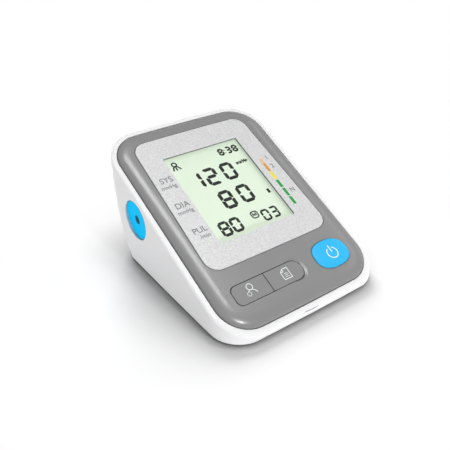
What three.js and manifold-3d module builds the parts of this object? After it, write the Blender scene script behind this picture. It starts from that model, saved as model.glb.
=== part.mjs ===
// Upper-arm digital blood pressure monitor with a sloped face, three keys and a side air socket.
// Millimetres, +Z up, front towards -Y. The origin is on the table, under the middle of the case.
import * as THREE from 'three';
import { mergeVertices } from 'three/addons/utils/BufferGeometryUtils.js';
import Module from 'manifold-3d';

const wasm = await Module();
wasm.setup();

// Driving dimensions of the case. The face plane is the sloped plane of the silver plate's top.
const gap = 0.3;
const cover_width = 100;
const cover_front = -0.1;
const cover_length = 137.1;
const cover_corner = 17;
const slope_degrees = 24.6;
const rim_width = 3.4;
const rim_depth = 2.4;
const rim_roll = 1.8;
const front_bow = 0.5;
const back_bow = 0.8;
const wall = 2.2;
const floor_thickness = 2.2;
const foot_height = 1.2;
const base_edge = 2.4;
const base_side_inset = 0.5;
const back_undercut = 15.3;
const back_curve = 0.28;
const least_wall = 0.3;

// Top cover: a shell with a wide rolled edge.
const cover_top_depth = 0.2;
const cover_thickness = 2.2;
const edge_roll = 8;
const edge_drop = 2;
const skirt_depth = 4.3;
const skirt_wall = 2.2;
const ledge_width = 1.8;
const ledge_thickness = 1.7;

// Face plate and display stack, from the face plane down.
const plate_front_margin = 35.4;
const plate_back_margin = 9.4;
const plate_half_front = 41;
const plate_half_back = 38.9;
const plate_corner = 8;
const plate_front_bow = 0.3;
const plate_back_bow = 0.4;
const plate_thickness = 1.2;
const window_half = 25.9;
const window_front_margin = 14.4;
const window_back_margin = 14.8;
const window_corner = 0.8;
const lens_margin = 2.5;
const lens_corner = 1;
const lens_thickness = 1;
const glass_margin = 1.6;
const glass_thickness = 2.3;
const holder_wall = 2.7;
const holder_lip = 1;
const backlight_thickness = 0.8;
const strip_width = 2.6;

// Keys: the power key stands proud, and two flat keys share one long opening.
const power_x = 28.7;
const key_line = 19.1;
const power_half_width = 11.75;
const power_half_length = 8.95;
const power_squareness = 2.5;
const power_rise = 0.95;
const power_edge = 0.75;
const power_crown = 4.5;
const keys_left = -38;
const keys_right = 7.1;
const keys_split = -15.7;
const keys_half_length = 6;
const key_corner = 3.5;
const key_end_corner = 5;
const split_corner = 0.4;
const key_clearance = 0.35;
const key_flange = 1;
const key_flange_thickness = 0.9;
const key_travel = 0.6;
const stem_radius = 2.6;
const stem_length = 0.2;

// Main board and what it carries.
const board_margin = 6.5;
const board_front = 9;
const board_clearance = 0.9;
const board_back_setback = 20.8;
const board_thickness = 1.6;
const board_corner = 2;
const board_screw_clearance = 0.7;
const board_screw_front = 33;
const board_screw_setback = 15;
const standoff_radius = 2.8;
const board_screw_radius = 1.1;
const board_screw_head = 2;
const switch_size = 6;
const switch_hole_radius = 2.1;
const switch_clearance = 0.4;
const plunger_radius = 1.75;
const chip_size = 14;
const chip_thickness = 1.6;
const chip_setback = 17.8;
const buzzer_radius = 6;
const buzzer_height = 6;
const buzzer_x = 22;
const buzzer_setback = 19.8;
const buzzer_hole_radius = 1;
const sensor_x = -12;
const sensor_size = 10;
const sensor_height = 5;
const sensor_edge = 4;

// Battery bay: four AA cells side by side, each the other way round from its neighbour.
const cell_count = 4;
const cell_radius = 7.1;
const cell_length = 49.2;
const nub_radius = 2.6;
const nub_length = 1;
const cell_gap = 0.4;
const cell_edge = 0.5;
const bay_wall = 1.5;
const contact_thickness = 0.5;
const contact_width = 10;
const contact_height = 9;
const spring_length = 4;
const spring_radius = 3.6;
const spring_tip_radius = 2.2;
const door_tongue = 1.6;
const door_tongue_thickness = 1.2;
const grip_ridges = 4;
const grip_half = 10;

// Air socket on the left wall. Its axis leans a little with the wall.
const socket_setback = 22.4;
const socket_height = 33.4;
const socket_radius = 11.8;
const socket_lean_degrees = 2.5;
const socket_sink = 0.48;
const socket_flange = 1.6;
const socket_dish = 1;
const socket_lip = 0.9;
const socket_tube_radius = 6;
const socket_bore_radius = 3.5;
const socket_depth = 12;
const socket_boss_radius = 14;
const socket_boss_depth = 6;
const nut_radius = 9;
const nut_thickness = 3;
const nut_sides = 6;

// Air path: nipples, hoses, pump and valve.
const nipple_radius = 1;
const nipple_bore = 0.5;
const nipple_length = 4;
const hose_radius = 2.3;
const hose_bore = 1.3;
const hose_bend = 6;
const hose_clearance = 1;
const bent_hose_steps = 14;
const hose_quarter_steps = 5;
const tee_size = 5;
const motor_radius = 11.5;
const motor_length = 29;
const head_radius = 12;
const head_length = 24;
const head_wall = 4;
const head_bore = 8;
const pump_left = -8;
const pump_setback = 3.5;
const shaft_radius = 1.2;
const shaft_length = 17;
const eccentric_radius = 4.5;
const eccentric_offset = 1.5;
const eccentric_length = 4;
const sleeve_thickness = 1.5;
const sleeve_length = 12;
const sleeve_inset = 2;
const valve_length = 13;
const valve_width = 16;
const valve_height = 14;
const rib = 1.6;

// Feet and screws.
const foot_radius = 4.5;
const foot_seat = 0.7;
const foot_inset_x = 14.4;
const foot_front = 14;
const foot_back_inset = 16.6;
const case_screw_radius = 1.4;
const case_screw_head = 2.8;
const case_screw_head_height = 1.8;
const case_screw_inset = 10.4;
const case_screw_front = 33;
const case_screw_setback = 38.4;
const column_radius = 4.6;
const column_seat = 4;
const boss_radius = 3.4;
const boss_length = 8.5;
const screw_grip = 7;

// Opening aids at the front edge.
const notch_width = 3.6;
const notch_depth = 0.5;
const notch_corner = 0.3;
const slot_left = -7.2;
const slot_right = 2.6;
const slot_height = 0.7;
const slot_depth = 0.9;

// Places worked out from the sizes above.
const slope = THREE.MathUtils.degToRad(slope_degrees);
const rise = Math.tan(slope);
const cover_half = cover_width / 2;
const rim_half = cover_half + rim_width;
const cover_back = cover_front + cover_length;
const plate_front = cover_front + plate_front_margin;
const plate_back = cover_back - plate_back_margin;
const window_front = plate_front + window_front_margin;
const window_back = plate_back - window_back_margin;
const glass_half = window_half + glass_margin;
const holder_half = glass_half + gap + holder_wall;
const board_half = holder_half + board_margin;
const board_back = window_back - board_back_setback;
const board_screw_x = holder_half + board_screw_clearance + standoff_radius;
const board_screw_back = board_back - board_screw_setback;
const floor_top = foot_height + floor_thickness;
const cover_bottom = cover_top_depth + cover_thickness;
const ledge_top = skirt_depth + gap;
const ledge_bottom = ledge_top + ledge_thickness;
const lens_top = plate_thickness + gap;
const glass_top = lens_top + lens_thickness + gap;
const glass_bottom = glass_top + glass_thickness;
const holder_top = glass_top;
const lip_top = glass_bottom + gap;
const lip_bottom = lip_top + holder_lip;
const holder_bottom = lip_bottom + gap + backlight_thickness;
const board_top = holder_bottom + gap;
const board_bottom = board_top + board_thickness;
const part_top = board_bottom + gap;
const flange_top = cover_bottom + gap;
const flange_bottom = flange_top + key_flange_thickness;
const stem_bottom = flange_bottom + stem_length;
const plunger_top = stem_bottom + gap;
const switch_top = flange_bottom + key_travel + switch_clearance;
const slide_door_top = floor_top + gap + door_tongue_thickness;
const cell_height = slide_door_top + gap + cell_radius;
const roof_under = cell_height + cell_radius + cell_gap;
const roof_top = roof_under + bay_wall;
const cell_pitch = 2 * cell_radius + cell_gap;
const bay_half = (cell_count * cell_pitch) / 2 + gap;
const seat_gap = 2 * gap + contact_thickness;
const bay_length = cell_length + nub_length + spring_length + 2 * seat_gap;

// Place over the table of a point on the slope. Depth counts down from the face plane, square to it.
function planAt(v, depth) {
  return v * Math.cos(slope) + depth * Math.sin(slope);
}

const cover_outline = {
  half_front: cover_half, half_back: cover_half,
  front: cover_front + front_bow, back: cover_back - back_bow,
  front_corner: cover_corner, back_corner: cover_corner, front_bow, back_bow,
};
const rim_outline = {
  half_front: rim_half, half_back: rim_half,
  front: planAt(cover_outline.front - rim_width, rim_depth),
  back: planAt(cover_outline.back + rim_width, rim_depth),
  front_corner: cover_corner + rim_width, back_corner: cover_corner + rim_width, front_bow, back_bow,
};
const base_outline = {
  half_front: rim_half - base_side_inset, half_back: rim_half - base_side_inset,
  front: rim_outline.front + base_side_inset, back: rim_outline.back - back_undercut,
  front_corner: cover_corner, back_corner: cover_corner, front_bow, back_bow,
};
const plate_outline = {
  half_front: plate_half_front, half_back: plate_half_back, front: plate_front, back: plate_back,
  front_corner: plate_corner, back_corner: plate_corner,
  front_bow: plate_front_bow, back_bow: plate_back_bow,
};
const case_front = rim_outline.front - front_bow;
const case_back = rim_outline.back + back_bow;
const bay_back = base_outline.back - wall;
const bay_front = bay_back - bay_length;
const sleeve_radius = motor_radius + gap + sleeve_thickness;
const pump_height = roof_top + gap + sleeve_radius;
const pump_line = bay_back - pump_setback;
const socket_line = bay_back - socket_setback;
const foot_back = base_outline.back - foot_back_inset;
const case_screw_back = bay_back - case_screw_setback;
const bay_line = (bay_front - bay_wall) / Math.cos(slope);
const chip_line = bay_line - chip_setback;
const buzzer_line = bay_line - buzzer_setback;
const nozzle_tip = pump_left - nipple_length;
const tee_reach = tee_size / 2 + nipple_length;
const tee_x = nozzle_tip - gap - tee_reach;
const valve_right = tee_x - tee_reach - gap - nipple_length;

// The face is just high enough for the pump under the display holder, and for the board's front end.
const holder_clearance = 2 * gap;
const pump_face = pump_height
  - (pump_line * Math.sin(slope) - holder_bottom - sleeve_radius - holder_clearance) / Math.cos(slope);
const board_drop = board_bottom * Math.cos(slope) - board_front * Math.sin(slope);
const board_face = floor_top + board_clearance + board_drop;
const face_height = Math.max(pump_face, board_face);

function heightAt(y, depth) {
  return face_height + y * rise - depth / Math.cos(slope);
}

// Small geometry helpers. A point list is turned into closed solids, which are joined and cut.
const corner_steps = 6;
const side_rounds = 8;
const side_steps = 3;
const least_corner = 0.4;
const weld_distance = 1e-4;
const most_sides = 48;

function outline(size, inset = 0) {
  const { half_front, half_back, front, back, front_corner, back_corner } = size;
  const points = [];
  const corners = [
    [1, half_front, front, front_corner, -90], [1, half_back, back, back_corner, 0],
    [-1, half_back, back, back_corner, 90], [-1, half_front, front, front_corner, 180],
  ];
  for (const [side, half, end, corner, start] of corners) {
    const radius = Math.max(corner - inset, least_corner);
    const inward = end === front ? 1 : -1;
    const x = side * (half - inset - radius);
    const y = end + inward * (inset + radius);
    for (let step = 0; step <= corner_steps; step += 1) {
      const angle = THREE.MathUtils.degToRad(start + (90 * step) / corner_steps);
      points.push(new THREE.Vector2(x + radius * Math.cos(angle), y + radius * Math.sin(angle)));
    }
  }
  const ring = [];
  points.forEach((point, index) => {
    ring.push(point);
    if ((index + 1) % (corner_steps + 1) === 0) {
      const next = points[(index + 1) % points.length];
      for (let step = 1; step < side_steps; step += 1) {
        ring.push(point.clone().lerp(next, step / side_steps));
      }
    }
  });
  for (const point of ring) {
    const along = (point.y - front) / (back - front);
    const crown = 1 - (point.x / half_front) ** 2;
    point.y += (along * size.back_bow - (1 - along) * size.front_bow) * crown;
  }
  return ring;
}

function flat(points, z) {
  return points.map((point) => new THREE.Vector3(point.x, point.y, z));
}

function lifted(points, depth, lowest = -Infinity) {
  return points.map((point) => (
    new THREE.Vector3(point.x, point.y, Math.max(heightAt(point.y, depth), lowest))
  ));
}

function loft(rings) {
  const count = rings[0].length;
  const positions = rings.flat().flatMap((point) => [point.x, point.y, point.z]);
  const index = [];
  for (let level = 0; level < rings.length - 1; level += 1) {
    for (let i = 0; i < count; i += 1) {
      const a = level * count + i;
      const b = level * count + ((i + 1) % count);
      index.push(a, b, b + count, a, b + count, a + count);
    }
  }
  const cap = (ring) => THREE.ShapeUtils.triangulateShape(ring.map((p) => new THREE.Vector2(p.x, p.y)), []);
  for (const [a, b, c] of cap(rings[0])) {
    index.push(a, c, b);
  }
  const last = (rings.length - 1) * count;
  for (const [a, b, c] of cap(rings[rings.length - 1])) {
    index.push(last + a, last + b, last + c);
  }
  const geometry = new THREE.BufferGeometry();
  geometry.setAttribute('position', new THREE.Float32BufferAttribute(positions, 3));
  geometry.setIndex(index);
  return geometry;
}

function solid(geometry) {
  const bare = geometry.clone();
  bare.deleteAttribute('normal');
  bare.deleteAttribute('uv');
  const merged = mergeVertices(bare, weld_distance);
  const triVerts = new Uint32Array(merged.index.array);
  const vertProperties = new Float32Array(merged.attributes.position.array);
  const result = new wasm.Manifold(new wasm.Mesh({ numProp: 3, vertProperties, triVerts }));
  if (result.volume() < 0) {
    throw new Error('a solid has its faces pointing in');
  }
  return result;
}

function join(first, ...others) {
  return others.reduce((sum, other) => sum.add(other), first);
}

function cut(first, ...others) {
  return others.reduce((rest, other) => rest.subtract(other), first);
}

function box(x0, x1, y0, y1, z0, z1) {
  const geometry = new THREE.BoxGeometry(x1 - x0, y1 - y0, z1 - z0);
  geometry.translate((x0 + x1) / 2, (y0 + y1) / 2, (z0 + z1) / 2);
  return solid(geometry);
}

// A rod has more sides the thicker it is.
function rodSides(radius) {
  return Math.min(most_sides, 8 + 4 * Math.round(0.6 * radius));
}

function rodGeometry(radius, from, to, sides = rodSides(radius)) {
  const start = new THREE.Vector3(...from);
  const direction = new THREE.Vector3(...to).sub(start);
  const length = direction.length();
  const geometry = new THREE.CylinderGeometry(radius, radius, length, sides);
  geometry.translate(0, length / 2, 0);
  const turn = new THREE.Quaternion().setFromUnitVectors(new THREE.Vector3(0, 1, 0), direction.normalize());
  geometry.applyQuaternion(turn);
  geometry.translate(start.x, start.y, start.z);
  return geometry;
}

function rod(radius, from, to, sides) {
  return solid(rodGeometry(radius, from, to, sides));
}

function prism(points, z0, z1) {
  return solid(loft([flat(points, z0), flat(points, z1)]));
}

// Rounded rectangle with its four corner radii from front left, anticlockwise.
function rounded(x0, x1, y0, y1, radii) {
  const corners = [
    [x0 + radii[0], y0 + radii[0], radii[0], 180], [x1 - radii[1], y0 + radii[1], radii[1], 270],
    [x1 - radii[2], y1 - radii[2], radii[2], 0], [x0 + radii[3], y1 - radii[3], radii[3], 90],
  ];
  const points = [];
  for (const [x, y, radius, start] of corners) {
    for (let step = 0; step <= corner_steps; step += 1) {
      const angle = THREE.MathUtils.degToRad(start + (90 * step) / corner_steps);
      points.push(new THREE.Vector2(x + radius * Math.cos(angle), y + radius * Math.sin(angle)));
    }
  }
  return points;
}

function allRound(radius) {
  return [radius, radius, radius, radius];
}

// Closed curve between an ellipse and a rectangle.
function squircle(x, y, half_width, half_length, squareness, count = 4 * side_rounds) {
  const points = [];
  for (let i = 0; i < count; i += 1) {
    const angle = (2 * Math.PI * i) / count;
    const c = Math.cos(angle);
    const s = Math.sin(angle);
    points.push(new THREE.Vector2(
      x + half_width * Math.sign(c) * Math.abs(c) ** (2 / squareness),
      y + half_length * Math.sign(s) * Math.abs(s) ** (2 / squareness),
    ));
  }
  return points;
}

// The panel frame has x across, y up the slope and z square out of the face plane.
const panel_matrix = new THREE.Matrix4().makeRotationX(slope).setPosition(0, 0, face_height);

function onPanel(geometry) {
  return solid(geometry.clone().applyMatrix4(panel_matrix));
}

function panelPrism(points, z0, z1) {
  return onPanel(loft([flat(points, z0), flat(points, z1)]));
}

function panelPoint(x, v, depth) {
  return new THREE.Vector3(x, v, -depth).applyMatrix4(panel_matrix);
}

// Where the air socket sits: its frame has z along the outward axis, from the lip's plane.
const socket_lean = THREE.MathUtils.degToRad(socket_lean_degrees);
const outward = new THREE.Vector3(-Math.cos(socket_lean), Math.sin(socket_lean), -Math.sin(socket_lean));
outward.normalize();
const socket_x = base_side_inset / 2 + socket_sink - rim_half;
const socket_centre = new THREE.Vector3(socket_x, socket_line, socket_height);
const socket_turn = new THREE.Quaternion().setFromUnitVectors(new THREE.Vector3(0, 0, 1), outward);

function socketPoint(distance) {
  return socket_centre.clone().addScaledVector(outward, distance).toArray();
}

// Materials, with the colours seen on the object.
function material(name, color, roughness, metalness = 0, opacity = 1) {
  const transparent = opacity < 1;
  return new THREE.MeshStandardMaterial({ name, color, roughness, metalness, opacity, transparent });
}

const white_plastic = material('white_plastic', 0xf2f2f2, 0.35);
const grey_plastic = material('grey_plastic', 0x919191, 0.45);
const silver_plate = material('silver_plate', 0xdfdfe1, 0.4, 0.3);
const clear_plastic = material('clear_plastic', 0xffffff, 0.05, 0, 0.25);
const display_green = material('display_green', 0xdcebd6, 0.4);
const blue_plastic = material('blue_plastic', 0x35b8f2, 0.4);
const socket_plastic = material('socket_plastic', 0x2ec0ee, 0.4);
const natural_plastic = material('natural_plastic', 0xe9e6da, 0.5);
const board_green = material('board_green', 0x1e6b3c, 0.5);
const black_plastic = material('black_plastic', 0x1c1c1e, 0.5);
const black_rubber = material('black_rubber', 0x2a2a2c, 0.8);
const grey_rubber = material('grey_rubber', 0xb9bcbf, 0.7);
const clear_hose = material('clear_hose', 0xd9dcdc, 0.5);
const steel = material('steel', 0xc4c6c8, 0.3, 1);
const cell_wrap = material('cell_wrap', 0x3a4a5c, 0.4);

const monitor = new THREE.Group();
const body = new THREE.Group();
body.position.y = -(case_front + case_back) / 2;
monitor.add(body);
const panel = new THREE.Group();
panel.position.z = face_height;
panel.rotation.x = slope;
body.add(panel);
const socket = new THREE.Group();
socket.position.copy(socket_centre);
socket.quaternion.copy(socket_turn);
body.add(socket);

function add(parent, name, shape, finish) {
  let geometry = shape;
  if (!shape.isBufferGeometry) {
    const mesh = shape.getMesh();
    geometry = new THREE.BufferGeometry();
    geometry.setAttribute('position', new THREE.Float32BufferAttribute(mesh.vertProperties, 3));
    geometry.setIndex(new THREE.BufferAttribute(new Uint32Array(mesh.triVerts), 1));
  }
  const piece = new THREE.Mesh(geometry, finish);
  piece.name = name;
  parent.add(piece);
  return piece;
}

// Outer shape of the white case: rounded bottom edge, undercut back and rolled rim.
const wall_steps = 5;

function wallRings(inset, low, roll_depth) {
  const base = outline(base_outline, inset);
  const rim = outline(rim_outline, inset);
  const rings = [];
  for (let step = 0; step <= wall_steps; step += 1) {
    const t = step / wall_steps;
    rings.push(base.map((start, i) => {
      const end = rim[i];
      const top = Math.max(heightAt(end.y, roll_depth), low + least_wall);
      const middle = low + back_curve * (top - low);
      const left = (1 - t) ** 2;
      const right = 1 - left;
      return new THREE.Vector3(
        left * start.x + right * end.x,
        left * start.y + right * end.y,
        left * low + 2 * t * (1 - t) * middle + t * t * top,
      );
    }));
  }
  return rings;
}

function caseOuter() {
  const low = foot_height + base_edge;
  const rings = [];
  for (const angle of [0, 30, 60]) {
    const turn = THREE.MathUtils.degToRad(angle);
    const inset = base_edge * (1 - Math.sin(turn));
    rings.push(flat(outline(base_outline, inset), low - base_edge * Math.cos(turn)));
  }
  rings.push(...wallRings(0, low, rim_depth + rim_roll));
  for (const angle of [35, 65, 90]) {
    const turn = THREE.MathUtils.degToRad(angle);
    const inset = rim_roll * (1 - Math.cos(turn));
    const depth = rim_depth + rim_roll * (1 - Math.sin(turn));
    rings.push(lifted(outline(rim_outline, inset), depth, low + least_wall));
  }
  return solid(loft(rings));
}

const case_outer = caseOuter();

function caseHollow() {
  const rings = wallRings(wall, floor_top, rim_depth + rim_roll);
  rings.push(lifted(outline(rim_outline, wall), -rim_width, floor_top + rim_width));
  const reach = 2 * cover_length;
  const low_half = new THREE.BoxGeometry(reach, reach, reach);
  low_half.translate(0, 0, -ledge_bottom - reach / 2);
  return solid(loft(rings)).intersect(onPanel(low_half));
}

// White case: floor, walls, ledge, battery bay, screw columns, cradle ribs and socket boss.
const columns = [];
for (const side of [-1, 1]) {
  for (const y of [case_screw_front, case_screw_back]) {
    const boss_end = heightAt(y, cover_bottom) - boss_length;
    columns.push({ x: side * (rim_half - case_screw_inset), y, boss_end, top: boss_end - gap });
  }
}
const feet = [];
for (const side of [-1, 1]) {
  for (const y of [foot_front, foot_back]) {
    feet.push({ x: side * (rim_half - foot_inset_x), y });
  }
}
const sleeve_left = pump_left + head_length + gap + sleeve_inset;
const valve_floor = pump_height - valve_height / 2;
const rail_half = bay_half + door_tongue + gap + bay_wall;
const groove_half = bay_half + door_tongue;
const opening_end = case_back + wall;

function baseHousing() {
  const pocket = panelPrism(outline(cover_outline, -gap), -ledge_top, cover_length);
  const ledge_hole = panelPrism(outline(cover_outline, ledge_width), -ledge_bottom - gap, 0);
  let shell = cut(case_outer, caseHollow(), ledge_hole);
  const bay_near = bay_front - bay_wall;
  const bay_far = bay_back + bay_wall;
  const bay = join(
    box(-bay_half - bay_wall, bay_half + bay_wall, bay_near, bay_far, floor_top - gap, roof_top),
    box(-rail_half, rail_half, bay_near, bay_far, floor_top - gap, slide_door_top + gap + rib),
  );
  const boss = rod(socket_boss_radius, socketPoint(-socket_boss_depth), socketPoint(socket_flange));
  const inside = [bay, boss];
  for (const { x, y, top } of columns) {
    inside.push(rod(column_radius, [x, y, foot_height], [x, y, top]));
  }
  for (const x of [sleeve_left + rib / 2, sleeve_left + sleeve_length - 1.5 * rib]) {
    const cradle = box(x, x + rib, pump_line - sleeve_radius, bay_far, roof_top - gap,
      pump_height - sleeve_radius / 3);
    inside.push(cut(cradle, rod(sleeve_radius + gap, [x - rib, pump_line, pump_height],
      [x + 2 * rib, pump_line, pump_height])));
  }
  for (const y of [pump_line - valve_width / 4, bay_back]) {
    const left = valve_right - valve_length;
    inside.push(box(left, valve_right, y, y + rib - gap, roof_top - gap, valve_floor - gap));
    inside.push(box(left, -bay_half, y, y + rib - gap, floor_top - gap, valve_floor - gap));
  }
  shell = join(shell, ...inside.map((piece) => piece.intersect(case_outer)));
  const slot_bottom = heightAt(case_front, rim_depth) - rim_roll / 2;
  const holes = [
    pocket,
    box(-bay_half, bay_half, bay_front, bay_back, 0, roof_under),
    box(-bay_half, bay_half, bay_front, opening_end, 0, floor_top + gap),
    box(-groove_half, groove_half, bay_front, opening_end, floor_top, slide_door_top + gap),
    rod(socket_radius + gap, socketPoint(-socket_flange - gap), socketPoint(rim_width)),
    rod(socket_tube_radius + gap, socketPoint(-2 * socket_boss_depth), socketPoint(rim_width)),
    box(slot_left, slot_right, case_front - gap, case_front + slot_depth + gap, slot_bottom,
      slot_bottom + slot_height),
  ];
  for (const { x, y, top } of columns) {
    holes.push(rod(case_screw_radius + gap, [x, y, 0], [x, y, top + gap]));
    holes.push(rod(case_screw_head + 2 * gap, [x, y, 0], [x, y, top - column_seat]));
  }
  for (const { x, y } of feet) {
    holes.push(rod(foot_radius + gap, [x, y, 0], [x, y, foot_height + foot_seat + gap]));
  }
  return cut(shell, ...holes);
}

// Grey top cover with its rolled edge, plate recess, display and key openings.
const lens_outline = rounded(-window_half - lens_margin, window_half + lens_margin,
  window_front - lens_margin, window_back + lens_margin, allRound(lens_corner));

function grown(points, by) {
  const centre = points.reduce((sum, p) => sum.add(p), new THREE.Vector2()).divideScalar(points.length);
  const box2 = new THREE.Box2().setFromPoints(points);
  const half = box2.getSize(new THREE.Vector2()).multiplyScalar(0.5);
  return points.map((p) => new THREE.Vector2(
    centre.x + ((p.x - centre.x) * (half.x + by)) / half.x,
    centre.y + ((p.y - centre.y) * (half.y + by)) / half.y,
  ));
}

const power_outline = squircle(power_x, key_line, power_half_width, power_half_length, power_squareness);
const keys_outline = rounded(keys_left, keys_right, key_line - keys_half_length, key_line + keys_half_length,
  [key_corner, key_end_corner, key_end_corner, key_corner]);
const standoffs = [];
for (const x of [-board_screw_x, board_screw_x]) {
  for (const v of [board_screw_front, board_screw_back]) {
    standoffs.push({ x, v });
  }
}

function coverRings(inset_side) {
  const rings = [flat(outline(cover_outline, inset_side), -skirt_depth)];
  const steps = 5;
  for (let step = 0; step <= steps; step += 1) {
    const turn = (Math.PI / 2) * (step / steps);
    const inset = inset_side + edge_roll * (1 - Math.cos(turn));
    rings.push(flat(outline(cover_outline, inset), edge_drop * (Math.sin(turn) - 1) - cover_top_depth));
  }
  return rings;
}

function topCover() {
  const hollow = [
    flat(outline(cover_outline, skirt_wall), -skirt_depth - gap),
    flat(outline(cover_outline, skirt_wall), -cover_bottom - edge_drop / 3),
    flat(outline(cover_outline, skirt_wall + edge_roll / 3), -cover_bottom),
  ];
  let shell = cut(onPanel(loft(coverRings(0))), onPanel(loft(hollow)));
  const inside = standoffs.map(({ x, v }) => (
    onPanel(rodGeometry(standoff_radius, [x, v, gap - board_top], [x, v, gap - cover_bottom]))
  ));
  for (const { x, y, boss_end } of columns) {
    inside.push(rod(boss_radius, [x, y, boss_end], [x, y, heightAt(y, cover_bottom - gap)]));
  }
  shell = join(shell, ...inside);
  const notch_half = notch_width / 2;
  const notch = rounded(-notch_half, notch_half, -notch_depth, notch_depth, allRound(notch_corner));
  const holes = [
    panelPrism(outline(plate_outline, -gap), -lens_top, gap),
    panelPrism(grown(lens_outline, gap), -cover_bottom - gap, gap),
    panelPrism(grown(power_outline, key_clearance), -cover_bottom - gap, gap),
    panelPrism(keys_outline, -cover_bottom - gap, gap),
    panelPrism(notch, -skirt_depth - gap, 0),
  ];
  for (const { x, v } of standoffs) {
    holes.push(onPanel(
      rodGeometry(board_screw_radius + gap, [x, v, -board_top - gap], [x, v, gap - flange_bottom]),
    ));
  }
  for (const { x, y, boss_end } of columns) {
    holes.push(rod(case_screw_radius + gap, [x, y, boss_end - gap], [x, y, boss_end + screw_grip + gap]));
  }
  return cut(shell, ...holes);
}

add(body, 'base_housing', baseHousing(), white_plastic);
add(body, 'top_cover', topCover(), grey_plastic);

// Silver face plate, clear display window and the display behind it.
const window_outline = rounded(-window_half, window_half, window_front, window_back,
  allRound(window_corner));
add(panel, 'face_plate', cut(
  prism(outline(plate_outline), -plate_thickness, 0),
  prism(window_outline, -plate_thickness - gap, gap),
), silver_plate);
add(panel, 'display_window', prism(lens_outline, -lens_top - lens_thickness, -lens_top), clear_plastic);

const glass_front = window_front - glass_margin;
const glass_back = window_back + glass_margin;
const light_half = window_half;
add(panel, 'lcd_glass', box(-glass_half, glass_half, glass_front, glass_back, -glass_bottom, -glass_top),
  display_green);
add(panel, 'lcd_holder', cut(
  box(-holder_half, holder_half, glass_front - gap - holder_wall, glass_back + gap + holder_wall,
    -holder_bottom, -holder_top),
  box(-glass_half - gap, glass_half + gap, glass_front - gap, glass_back + gap, -lip_top, gap - holder_top),
  box(-light_half + glass_margin, light_half - glass_margin, window_front + strip_width, window_back,
    -lip_bottom - gap, gap - lip_top),
  box(-light_half - gap, light_half + gap, window_front + strip_width - gap, window_back + gap,
    -holder_bottom - gap, -lip_bottom),
  box(-light_half, light_half, glass_front, glass_front + strip_width, -holder_bottom - gap, gap - lip_top),
), natural_plastic);
add(panel, 'backlight_panel', box(-light_half, light_half, window_front + strip_width, window_back,
  -holder_bottom, -lip_bottom - gap), natural_plastic);
add(panel, 'display_connector', box(-light_half + gap, light_half - gap, glass_front + gap,
  glass_front + strip_width - gap, gap - board_top, -glass_bottom - gap), grey_rubber);

// Main board with its screws, chip, buzzer and pressure sensor.
const nipple_inner = new THREE.Vector3(...socketPoint(-socket_depth - rib));
nipple_inner.applyMatrix4(panel_matrix.clone().invert());
const board = cut(
  prism(rounded(-board_half, board_half, board_front, board_back, allRound(board_corner)), -board_bottom,
    -board_top),
  box(-board_half - gap, nipple_inner.x + hose_radius + nipple_length + hose_clearance,
    nipple_inner.y - hose_radius - hose_clearance, board_back + gap, -board_bottom - gap, gap - board_top),
  ...standoffs.map(({ x, v }) => (
    rod(board_screw_radius + gap, [x, v, -board_bottom - gap], [x, v, gap - board_top])
  )),
);
add(panel, 'main_board', board, board_green);
standoffs.forEach(({ x, v }, index) => {
  add(panel, `board_screw_${index + 1}`, join(
    rod(board_screw_head, [x, v, -part_top - board_screw_radius], [x, v, -part_top]),
    rod(board_screw_radius, [x, v, -part_top - gap], [x, v, -flange_bottom - gap]),
  ), steel);
});
const chip_half = chip_size / 2;
add(panel, 'controller_chip', box(-chip_half, chip_half, chip_line - chip_half, chip_line + chip_half,
  -part_top - chip_thickness, -part_top), black_plastic);
add(panel, 'buzzer', cut(
  rod(buzzer_radius, [buzzer_x, buzzer_line, -part_top - buzzer_height], [buzzer_x, buzzer_line, -part_top]),
  rod(buzzer_hole_radius, [buzzer_x, buzzer_line, -part_top - buzzer_height - gap],
    [buzzer_x, buzzer_line, -part_top - buzzer_height / 2]),
), black_plastic);
const sensor_back = board_back - sensor_edge;
const sensor_depth = part_top + sensor_height / 2;
add(panel, 'pressure_sensor', cut(
  join(
    box(sensor_x - sensor_size / 2, sensor_x + sensor_size / 2, sensor_back - sensor_size, sensor_back,
      -part_top - sensor_height, -part_top),
    rod(nipple_radius, [sensor_x, sensor_back - gap, -sensor_depth],
      [sensor_x, sensor_back + nipple_length, -sensor_depth]),
  ),
  rod(nipple_bore, [sensor_x, sensor_back - sensor_size / 2, -sensor_depth],
    [sensor_x, sensor_back + nipple_length + gap, -sensor_depth]),
), black_plastic);

// Keys, each over a board switch whose plunger moves with it.
function keyGroup(name, x, cap, finish) {
  const stem = rod(stem_radius, [x, key_line, -stem_bottom], [x, key_line, gap - flange_bottom]);
  add(panel, `${name}_button`, join(cap, stem), finish);
  add(panel, `${name}_plunger`, rod(plunger_radius, [x, key_line, 2 * key_travel - board_top],
    [x, key_line, -plunger_top]), black_plastic);
  add(panel, `${name}_switch`, cut(
    box(x - switch_size / 2, x + switch_size / 2, key_line - switch_size / 2, key_line + switch_size / 2,
      gap - board_top, -switch_top),
    rod(switch_hole_radius, [x, key_line, -board_top], [x, key_line, gap - switch_top]),
  ), black_plastic);
}

const dome_steps = 3;
const power_rings = [flat(power_outline, -flange_top - gap)];
for (let step = 0; step <= dome_steps; step += 1) {
  const turn = (Math.PI / 2) * (step / dome_steps);
  const inset = power_crown * (1 - Math.cos(turn));
  power_rings.push(flat(grown(power_outline, -inset), power_rise - power_edge * (1 - Math.sin(turn))));
}
const power_cap = join(
  solid(loft(power_rings)),
  prism(grown(power_outline, key_flange), -flange_bottom, -flange_top),
);
keyGroup('power', power_x, power_cap, blue_plastic);

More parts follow.
